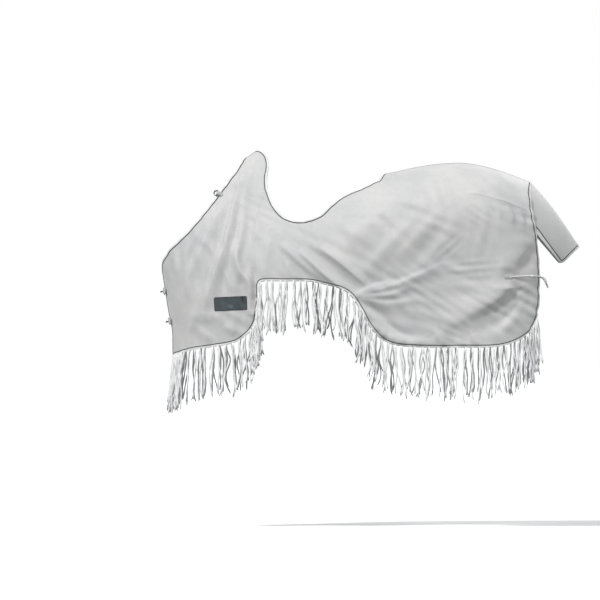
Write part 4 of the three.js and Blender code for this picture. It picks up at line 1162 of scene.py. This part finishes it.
def strand_rings(roots, ways, sides_out, long, draw, drift=0.0):
    """Rings of soft strands in pairs. Both strands of a pair leave one root, part in a
    narrow V, gather with their group, sway in two sines each and in a lazy lean, curl a
    little at the tip, and end in a slightly swollen, frayed tuft."""
    count = len(roots) * 2
    root = np.repeat(roots, 2, axis=0)[:, None]
    way = np.repeat(ways, 2, axis=0)[:, None]
    out = np.repeat(sides_out, 2, axis=0)[:, None]
    t = np.linspace(0, 1, STRAND_RINGS)[None]
    sign = np.tile([-1.0, 1.0], len(roots))[:, None]

    def each(low, high):
        return draw.uniform(low, high, (count, 1))

    def ripple(height, turns, start):
        """A sine along each strand, which grows from nothing over its first stretch."""
        return each(*height) * np.sin(t * each(*turns) + each(0, 6.3)) * np.minimum(t / start, 1)

    reach = np.repeat(long, 2)[:, None] * each(0.84, 1.04)
    group = np.cumsum(draw.uniform(size=len(roots)) < NEW_GROUP)
    middle = np.stack([np.bincount(group, column) / np.maximum(np.bincount(group), 1)
                       for column in roots.T], -1)[group]
    gather = np.clip((middle - roots) * [1, 1, 0], -GATHER_MOST, GATHER_MOST)
    gather = gather * draw.uniform(0.2, 0.8, (len(roots), 1))
    gather = np.repeat(gather, 2, axis=0)[:, None] * (t ** 0.8)[..., None]
    part = sign * each(1.8, 5.5) * (1 - np.exp(-t / 0.16)) * (1 + each(-0.8, 0.9) * t)
    sway = ripple((4.0, 10.5), (3.0, 7.5), 0.35) + ripple((0.3, 1.1), (9.0, 15.0), 0.15)
    lean = each(-14.0, 14.0) * t ** 1.6
    curl = each(-9.0, 9.0) * np.clip((t - 0.78) / 0.22, 0, 1) ** 2
    depth = each(-2.4, 2.4) * np.minimum(t / 0.12, 1) + ripple((0.8, 2.6), (7.0, 15.0), 0.2)
    path = (root + gather + way * (part + sway + lean + curl)[..., None]
            + out * depth[..., None] + np.array([0, 0, -1.0]) * (reach * t)[..., None]
            + drift * t[..., None])
    body = STRAND_RADIUS * each(0.85, 1.18) * (1 + 0.10 * np.sin(t * each(20, 34) + each(0, 6)))
    tuft = 1 + each(0.25, 0.6) * np.exp(-((t - 0.955) / 0.03) ** 2)
    close = np.where(t > 0.99, each(0.35, 0.8), 1.0)
    up = np.broadcast_to(out, path.shape)
    return tube_points(path, up, body * tuft * close, STRAND_SIDES, each(-3, 3) * t)


def hanging_frame(pairs, side):
    """For roots on the edge: their places, the level direction along the edge, and the level
    direction outwards."""
    place = cloth(pairs, side, np.full(len(pairs), CLOTH_LIFT))
    out = unit(outward(pairs, side) * [1, 1, 0])
    along = np.stack([-out[:, 1], out[:, 0], np.zeros(len(out))], -1)
    return place, along, out


def hem_roots(start, end, pitch, draw):
    """Pairs along the edge between two stations, nearly evenly spaced."""
    line = inset(EDGE[start:end + 1], EDGE_WAYS[start:end + 1], 2.0)
    run = lengths(line)
    count = int(run[-1] / pitch)
    at = (np.arange(count) + 0.5) * run[-1] / count + draw.uniform(-0.22, 0.22, count) * pitch
    return np.stack([np.interp(at, run, column) for column in line.T], -1)


def joint_named(name):
    """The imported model's joint of that name."""
    return next(j for j in frame["joints"] if j["name"] == name)


def swing_line(name, roots):
    """Where the band starts and ends its bend: straight down from its hinge line, past the
    lowest root, so that every root stays on the hem."""
    joint = joint_named(f"{name}_swing")
    pivot, axis = np.array(joint["pos_m"]), unit(np.array(joint["axis"], float))
    down = unit(np.array([0, 0, -1.0]) - axis * -axis[2])
    start = pivot + down * (((roots * MM - pivot) @ down).max() + BEND_BELOW)
    return tuple(start), tuple(start + down * BEND_LONG)


def add_band(band_name, side_name, roots, along, out, draw):
    """One band of the hem's fringe, baked in place; the places of its bend come from its swing
    joint.
    """
    name = f"fringe_{band_name}_{side_name}"
    long = FRINGE_LONG * draw.uniform(0.95, 1.07, len(roots))
    long = np.where(roots[:, 0] < -300, long * 1.04, long)     # a little longer at the chest
    drift = np.interp(roots[:, 0], DRIFT_AT, DRIFT)
    drift = np.repeat(drift[:, None] * [1, 0, 0], 2, axis=0)[:, None]
    piece = tubes(name, strand_rings(roots, along, out, long, draw, drift), FRINGE_CORD)
    return fitted(piece, name, "fringe_cord", name, bend=swing_line(name, roots))


def add_fringe():
    """The hem's strands in bands, cut where the model's fringe parts start, and the bundles sewn
    up the step's edge, listed by the panel that owns them."""
    made = {"shoulder": [], "body": []}
    foot, end = STRETCHES["hem"]
    for number, (name, side) in enumerate(SIDES):
        draw = np.random.default_rng(100 + number)
        front = [hem_roots(foot - 2, STEP_FOOT_AT - 4, FRINGE_PITCH, draw),
                 hem_roots(foot - 1, foot + 40, DENSE_PITCH, draw)]
        back = [hem_roots(STEP_HEAD_AT + 3, end - 2, FRINGE_PITCH, draw),
                hem_roots(end - 22, end + 12, TAIL_PITCH, draw)]
        place, along, out = hanging_frame(np.concatenate(front + back), side)
        is_front = np.arange(len(place)) < sum(map(len, front))
        cuts = [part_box(f"fringe_{b}_{name}")[0][0] / MM for b in HEM_BANDS]
        for k, band_name in enumerate(HEM_BANDS):
            low = cuts[k] if band_name not in ("chest", "girth") else -np.inf
            high = cuts[k + 1] if band_name not in ("shoulder", "rear") else np.inf
            chosen = (place[:, 0] >= low) & (place[:, 0] < high) & (is_front == (k < 2))
            piece = add_band(band_name, name, place[chosen], along[chosen], out[chosen], draw)
            made["shoulder" if k < 2 else "body"].append(piece)
        step = hem_roots(STEP_FOOT_AT - 6, STEP_HEAD_AT + 2, STEP_PITCH, draw)
        place, along, out = hanging_frame(step, side)
        long = FRINGE_LONG * draw.uniform(0.86, 1.0, len(place))
        rings = strand_rings(place, along, out, long, draw)
        bundle = tubes(f"fringe_step_{name}", rings, FRINGE_CORD)
        made["shoulder"].append(fitted(bundle, "sheet", "fringe_cord"))
    return made


# ---- straps, rings and hooks ----------------------------------------------------------------
BAR_LIFT = 9.0
BAR_AT, BAR_PLAY = 27.0, 0.4
LOOP_MIDDLE = 3.8
STRAP_THICK = 1.6
WIRE_RADIUS = 1.65
OFF = np.array([0.0, 0.0, 1.0])        # off the cloth, in a fitting's own places
CLOSURES = {"upper": -613, "lower": -744}


def set_in(points, origin, x_way, z_way):
    """Local places put in their place: x along the pull, z off the cloth, y across them."""
    z = unit(np.asarray(z_way, float))
    x = np.asarray(x_way, float)
    x = unit(x - z * (x @ z))
    return np.asarray(points) @ np.stack([x, np.cross(z, x), z]) + origin


def strap_line(far, lift_from, lift_to):
    """Middle line of a strap in its own plane, as x and lift: from its sewn end to the bar,
    nearly round it and back over itself."""
    t = np.linspace(0, 1, 14)
    ease = t * t * (3 - 2 * t)
    flat = np.stack([far * (1 - t), lift_to + (lift_from - lift_to) * ease], -1)
    angle = np.linspace(-QUARTER * 1.15, -QUARTER * 3.35, 16)
    loop = np.stack([np.cos(angle) * LOOP_MIDDLE, BAR_LIFT + np.sin(angle) * LOOP_MIDDLE], -1)
    t = np.linspace(0, 1, 9)[1:]
    ease = t * t * (3 - 2 * t)
    over = lift_from + STRAP_THICK + 0.3 + (lift_to - lift_from) * 0.72
    back = np.stack([3.6 + (far * 0.72 - 3.6) * t,
                     loop[-1, 1] + (over - loop[-1, 1]) * ease], -1)
    return respaced(np.concatenate([flat[:-1], loop, back]), 70)


def strap_rows(line, width):
    """A webbing strap: a thin rounded section carried along the line."""
    ahead = unit(np.gradient(line, axis=0))
    over = np.stack([-ahead[:, 1], ahead[:, 0]], -1)
    half, thick = width / 2, STRAP_THICK / 2
    section = [(-half, 0), (-half + 0.5, thick), (-half / 3, thick), (half / 3, thick),
               (half - 0.5, thick), (half, 0), (half - 0.5, -thick), (half / 3, -thick),
               (-half / 3, -thick), (-half + 0.5, -thick)]
    y, off = np.array(section).T
    place = line[:, None] + over[:, None] * off[None, :, None]
    return np.stack([place[..., 0], np.broadcast_to(y, place.shape[:2]), place[..., 1]], -1)


def box_stitch(name, far, near, half, lift_far, lift_near, put):
    """A sewn box with its cross on a strap's flat end."""
    a, b, c, d = (far, -half), (near, -half), (near, half), (far, half)
    rings = []
    for p, q in ((a, b), (b, c), (c, d), (d, a), (a, c), (b, d)):
        line = np.linspace(p, q, 12)
        share = (line[:, 0] - near) / (far - near)
        lift = lift_near + (lift_far - lift_near) * share
        path = np.column_stack([line, lift])
        up = np.tile(OFF, (len(path), 1))
        rings.append(stitch_rings(path, up, 2.2, 0.9, 0.4))
    return tubes(name, put(np.concatenate(rings)), PALE_THREAD)


def ring_line(length, width):
    """Middle line of a D ring: a straight bar at x = 0, and a half round bow towards +x."""
    half = width / 2 - WIRE_RADIUS
    bow = length - WIRE_RADIUS - width / 2
    corner = 3.2
    angle = np.linspace(-QUARTER, QUARTER, 40)
    turn = np.linspace(0, QUARTER, 8)
    arch = np.stack([bow - WIRE_RADIUS + half * np.cos(angle), half * np.sin(angle)], -1)
    top = np.stack([corner * (1 - np.sin(turn)), half - corner * (1 - np.cos(turn))], -1)
    bar = np.stack([np.zeros(12), np.linspace(half - corner, -half + corner, 12)], -1)
    low = top[::-1] * [1, -1]
    loop = np.concatenate([arch[:-1], top[:-1], bar[:-1], low])
    return respaced(np.concatenate([loop, loop[:1]]), 121)[:-1]


def ring_tube(name, line, put):
    """Round wire along a closed flat line."""
    path = np.column_stack([line, np.zeros(len(line))])
    rings = tube_points(path, np.broadcast_to(OFF, path.shape), WIRE_RADIUS, 10, closed=True)
    return tubes(name, put(rings), GUNMETAL, closed=True)


def hook_line(nose, stem):
    """Middle line of the hook's U in its own plane, as x and lift."""
    low, top, bend = 5.5, 25.3, 4.4
    left = np.linspace(2 * QUARTER, 3 * QUARTER, 9)
    right = np.linspace(-QUARTER, 0, 9)
    return respaced(np.concatenate([
        [[nose + 0.5, top - 0.4], [nose, top - 3]],
        np.stack([nose + bend + bend * np.cos(left), low + bend + bend * np.sin(left)], -1),
        np.stack([stem - bend + bend * np.cos(right), low + bend + bend * np.sin(right)], -1),
        [[stem, top]]]), 60)


def oval_tube(path, up, half_over, half_side, corners=12):
    """Rings of an oval section: one half width along up, another sideways. Both may change
    along the path."""
    ahead = unit(np.gradient(path, axis=0))
    side = unit(np.cross(ahead, up))
    over = np.cross(side, ahead)
    angle = np.arange(corners) * 2 * math.pi / corners
    c = np.sign(np.cos(angle)) * np.abs(np.cos(angle)) ** 0.75
    s = np.sign(np.sin(angle)) * np.abs(np.sin(angle)) ** 0.75
    half_side = np.broadcast_to(half_side, len(path))[:, None, None]
    half_over = np.broadcast_to(half_over, len(path))[:, None, None]
    return (path[:, None] + side[:, None] * c[None, :, None] * half_side
            + over[:, None] * s[None, :, None] * half_over)


def joined(name, pieces):
    """Several pieces made one."""
    target = pieces[0]
    bpy.ops.object.select_all(action="DESELECT")
    for piece in pieces:
        piece.select_set(True)
    bpy.context.view_layer.objects.active = target
    bpy.ops.object.join()
    target.name = target.data.name = name + "_finished"
    return target


def add_closure(level, height):
    """One chest closure: two straps, the D ring, the snap hook and its gate."""
    slope = float(CHEST_FRONT(height + 5) - CHEST_FRONT(height - 5)) / 10
    origin = np.array([float(CHEST_FRONT(height)), 0, height])

    def put(points, flip=1):
        return set_in(points * np.array([flip, flip, 1]), origin, (0, -1, 0), (-1, 0, slope))

    for name, flip in (("left", 1), ("right", -1)):
        line = strap_line(27, 5.2, 0.2)
        rows = strap_rows(line, 24) + [BAR_AT, 0, 0]
        strap = band(f"chest_strap_{level}_{name}", put(rows, flip), WEBBING)
        sewn = box_stitch(f"chest_strap_stitching_{level}_{name}", BAR_AT + 18, BAR_AT + 7.5,
                          9.5, 3.8, 8.0, lambda p, f=flip: put(p, f))
        fitted(strap, "sheet", "webbing", f"chest_strap_{level}_{name}")
        fitted(sewn, "sheet", "webbing")
    ring = ring_tube(f"chest_ring_{level}", ring_line(24, 34),
                     lambda p: put(p + [BAR_PLAY - BAR_AT, 0, BAR_LIFT]))
    fitted(ring, f"chest_ring_{level}", "hardware", f"chest_ring_{level}")
    flat = hook_line(-15.3, 10.5)
    path = np.column_stack([flat[:, 0], np.zeros(len(flat)), flat[:, 1]])
    up = np.tile([0.0, 1.0, 0.0], (len(path), 1))
    share = np.linspace(0, 1, len(path))
    thin = 1.5 + 0.25 * np.sin(share * math.pi) - 0.5 * np.exp(-(share / 0.05) ** 2)
    wide = 3.3 - 0.9 * np.exp(-(share / 0.07) ** 2)
    hook = tubes("hook", put(oval_tube(path, up, wide, thin)), GUNMETAL)
    eye = ring_tube("eye", rounded_box(15.4, 29.8, 4, 120) + [18.9, 0],
                    lambda p: put(p + [0, 0, BAR_LIFT]))
    pin = np.column_stack([np.full(9, 7.3), np.linspace(-4.1, 4.1, 9), np.full(9, 24.2)])
    head = np.array([0.5, 1.15, 1.15, 0.8, 0.8, 0.8, 1.15, 1.15, 0.5])
    rivet = tubes("rivet", put(tube_points(pin, np.tile([0.0, 0, 1], (9, 1)), head, 12)),
                  GUNMETAL)
    body = joined(f"chest_hook_{level}", [hook, eye, rivet])
    fitted(body, "sheet", "hardware", f"chest_hook_{level}")
    at = np.linspace(-13.3, 8.0, 26)
    bar = np.column_stack([at, np.zeros(26), np.full(26, 24.2)])
    taper = 1.25 * np.sqrt(np.clip(1 - ((at + 2.65) / 10.75) ** 6, 0.12, 1))
    rings = oval_tube(bar, np.tile([0.0, 1, 0], (26, 1)), 2.55, taper)
    gate = tubes(f"chest_gate_{level}", put(rings), GUNMETAL)
    fitted(gate, f"chest_gate_{level}", "hardware", f"chest_gate_{level}")


def add_neck_ring(name, side):
    """The neck cover's D ring in its webbing loop, sewn on the neckline."""
    joint = joint_named(f"neck_ring_{name}_tilt")
    pivot = np.array(joint["pos_m"]) / MM
    neck = EDGE[STRETCHES["neck"][0]:STRETCHES["neck"][1]]
    nearest = np.linalg.norm(bare(neck, side) - pivot, axis=1).argmin()
    z = outward(neck[nearest], side)
    y = np.array(joint["axis"], float)
    x = np.cross(y, z)
    inner = bare(inset(neck, EDGE_WAYS[:len(neck)], 20)[nearest], side)
    x = x * np.sign(x @ (inner - bare(neck[nearest], side)))
    origin = pivot - unit(z) * BAR_LIFT

    def put(points):
        return set_in(points, origin, x, z)

    rows = strap_rows(strap_line(23, 5.2, 4.2), 17)
    strap = band(f"neck_strap_{name}", put(rows), WEBBING)
    sewn = box_stitch(f"neck_strap_stitching_{name}", 15.5, 6.5, 6.0, 7.1, 8.1, put)
    ring = ring_tube(f"neck_ring_{name}", ring_line(22, 28) * [-1, 1],
                     lambda p: put(p + [0, 0, BAR_LIFT]))
    fitted(ring, f"neck_ring_{name}", "hardware", f"neck_ring_{name}")
    fitted(strap, "sheet", "webbing", f"neck_strap_{name}")
    fitted(sewn, "sheet", "webbing")


# ---- tail cord ------------------------------------------------------------------------------
TAIL_CORD = [(1101, -263.5, -552), (1116, -258.6, -551), (1134, -252.5, -549.5),
             (1154, -244.5, -548), (1175, -234, -547), (1195, -221.5, -547),
             (1215, -208, -548), (1233, -194, -550.5), (1247, -173, -555), (1255, -148, -562),
             (1260, -122, -571), (1264, -94, -581), (1268, -64, -590), (1270.5, -32, -596),
             (1271, 0, -598)]
CORD_RADIUS, CORD_TURN = 2.4, 14.0
KNOT_AT = (1196, -220.8, -547)
KNOT_SIZE = (1.9, 1.5, 1.9)
KNOT_CORD = 1.9


def add_knot(name, flip):
    """A trefoil knot in the cord: two sines across and along, and a third off the plane."""
    centre = np.array(KNOT_AT) * flip
    t = np.linspace(0, 2 * math.pi, 97)[:-1]
    line = np.stack([np.sin(t) + 2 * np.sin(2 * t), np.cos(t) - 2 * np.cos(2 * t),
                     -1.5 * np.sin(3 * t)], -1) * KNOT_SIZE
    line = set_in(line, centre, (0.85 * flip[0], 0.52 * flip[1], 0), OFF)
    rings = tube_points(line, line - centre + 0.01 * OFF, KNOT_CORD, 8, closed=True)
    piece = tubes(f"tail_cord_knot_{name}", rings, TAIL_CORD_YARN, closed=True)
    return fitted(piece, "sheet", "tail_cord")


def add_cord_tab(name, side, tip, ahead):
    """A webbing tab sewn inside the panel, with the cord's end in it."""
    z = outward(on_form([tip[[0, 2]]])[0], side)

    def put(points):
        return set_in(points, tip, ahead, z)

    t = np.linspace(-6, 27, 34)
    lift = -2.0 + 2.6 * np.exp(-((t + 2) / 5) ** 2)
    rows = strap_rows(np.column_stack([t, lift]), 18)
    tab = band(f"tail_cord_tab_{name}", put(rows), WEBBING)
    sewn = box_stitch(f"tail_cord_tab_stitching_{name}", 24, 6, 7, -1.2, -1.0, put)
    fitted(tab, "sheet", "webbing", f"tail_cord_tab_{name}")
    fitted(sewn, "sheet", "webbing")


def add_tail_cord():
    """The plaited cord from tab to tab under the tail, its knots, and its sewn tabs."""
    half = np.array(TAIL_CORD, float)
    route = np.concatenate([half, half[-2::-1] * [1, -1, 1]])
    path = respaced(curve_through(route, 30), 440)
    run = lengths(path)
    up = np.tile(OFF, (len(path), 1))
    rings = tube_points(path, up, rope_radius(run, 9, CORD_RADIUS, 3, CORD_TURN, 0.16), 9)
    cord = tubes("tail_cord", rings, TAIL_CORD_YARN)
    fitted(cord, "sheet", "tail_cord", "tail_cord")
    for name, side in SIDES:
        flip = np.array([1, -side, 1])
        add_knot(name, flip)
        tip, after = half[:2] * flip
        add_cord_tab(name, side, tip, tip - after)


# ---- floor, light and camera ----------------------------------------------------------------
FLOOR_AT = -1.653              # where a horse of this size stands
FLOOR_RADIUS, FLOOR_CORNERS = 90, 96
CAMERA_AT = (0.183, -40.0, -0.6525)
LENS, SENSOR, CLIP_END = 547.0, 36, 400
AMBIENT = 0.33
# Each lamp: its strength, its spread in degrees, and the way its light goes.
LAMPS = (("key", 3.5, 8, (0.50, 0.56, -0.66)), ("fill", 1.4, 40, (-0.68, 0.42, -0.60)),
         ("rim", 1.1, 30, (-0.35, -0.80, -0.50)))


def add_floor():
    """A very wide pale disc with a faint speckle."""
    angle = np.arange(FLOOR_CORNERS) * 2 * math.pi / FLOOR_CORNERS
    rim = np.stack([np.cos(angle), np.sin(angle), np.zeros(FLOOR_CORNERS)], -1) * FLOOR_RADIUS
    f = Finish("studio_floor", 0.9)
    pale = f.between(f.noise(f.place(), 9.0, 3), grey(0.86), grey(0.9))
    finish = f.done(pale, f.relief(f.noise(f.place(), 120.0, 3), 0.05, 0.001))
    floor = mesh("studio_floor", (rim + [0, 0, FLOOR_AT]) / MM, [list(range(FLOOR_CORNERS))],
                 finish, flat=True, shell=False)
    floor.visible_diffuse = False      # the floor doesn't light the cloth from below


def add_light():
    """Pale surroundings, a key from the front left above that brings out the folds, a broad
    fill from the left behind, and a weak light on the far side. A camera sees plain white."""
    world = bpy.data.worlds.new("studio")
    bpy.context.scene.world = world
    world.use_nodes = True
    tree = world.node_tree
    shade = tree.nodes["Background"]
    shade.inputs[0].default_value = (0.96, 0.98, 1.0, 1)
    shade.inputs[1].default_value = AMBIENT
    seen = tree.nodes.new("ShaderNodeBackground")
    seen.inputs[0].default_value = (1, 1, 1, 1)
    seen.inputs[1].default_value = 1.0
    ray = tree.nodes.new("ShaderNodeLightPath")
    mix = tree.nodes.new("ShaderNodeMixShader")
    tree.links.new(ray.outputs["Is Camera Ray"], mix.inputs[0])
    tree.links.new(shade.outputs[0], mix.inputs[1])
    tree.links.new(seen.outputs[0], mix.inputs[2])
    tree.links.new(mix.outputs[0], tree.nodes["World Output"].inputs[0])
    for name, strength, spread, towards in LAMPS:
        lamp = bpy.data.lights.new(name, "SUN")
        lamp.energy = strength
        lamp.angle = math.radians(spread)
        holder = bpy.data.objects.new(name, lamp)
        holder.rotation_mode = "QUATERNION"
        holder.rotation_quaternion = Vector(towards).to_track_quat("-Z", "Y")
        bpy.context.scene.collection.objects.link(holder)


def add_camera():
    """A long lens, level, looking along +Y at the left side."""
    lens = bpy.data.cameras.new("view")
    lens.lens, lens.sensor_width, lens.clip_end = LENS, SENSOR, CLIP_END
    camera = bpy.data.objects.new("view", lens)
    camera.location = CAMERA_AT
    camera.rotation_euler = (QUARTER, 0, 0)
    bpy.context.scene.collection.objects.link(camera)
    bpy.context.scene.camera = camera
    bpy.context.scene.view_settings.view_transform = "Standard"


# ---- the whole sheet ------------------------------------------------------------------------
add_camera()
add_tail_cord()
panels, edgings, seams = add_panels(), add_edgings(), add_seams()
add_spine_tapes()
add_patch()
fringe = add_fringe()
for level, height in CLOSURES.items():
    add_closure(level, height)
for name, side in SIDES:
    add_neck_ring(name, side)
flap_sheet, flap_size, flap_area, flap_pieces = add_tail_flap()
add_floor()
add_light()


def of_side(pieces, name):
    """The pieces whose names say that side."""
    return [piece for piece in pieces if piece.name.endswith(name) or f"_{name}_" in piece.name]


for name, _ in SIDES:
    for kind in ("shoulder", "body"):
        extra = of_side(edgings[kind] + fringe[kind], name)
        if kind == "body":
            extra += of_side(seams, name)
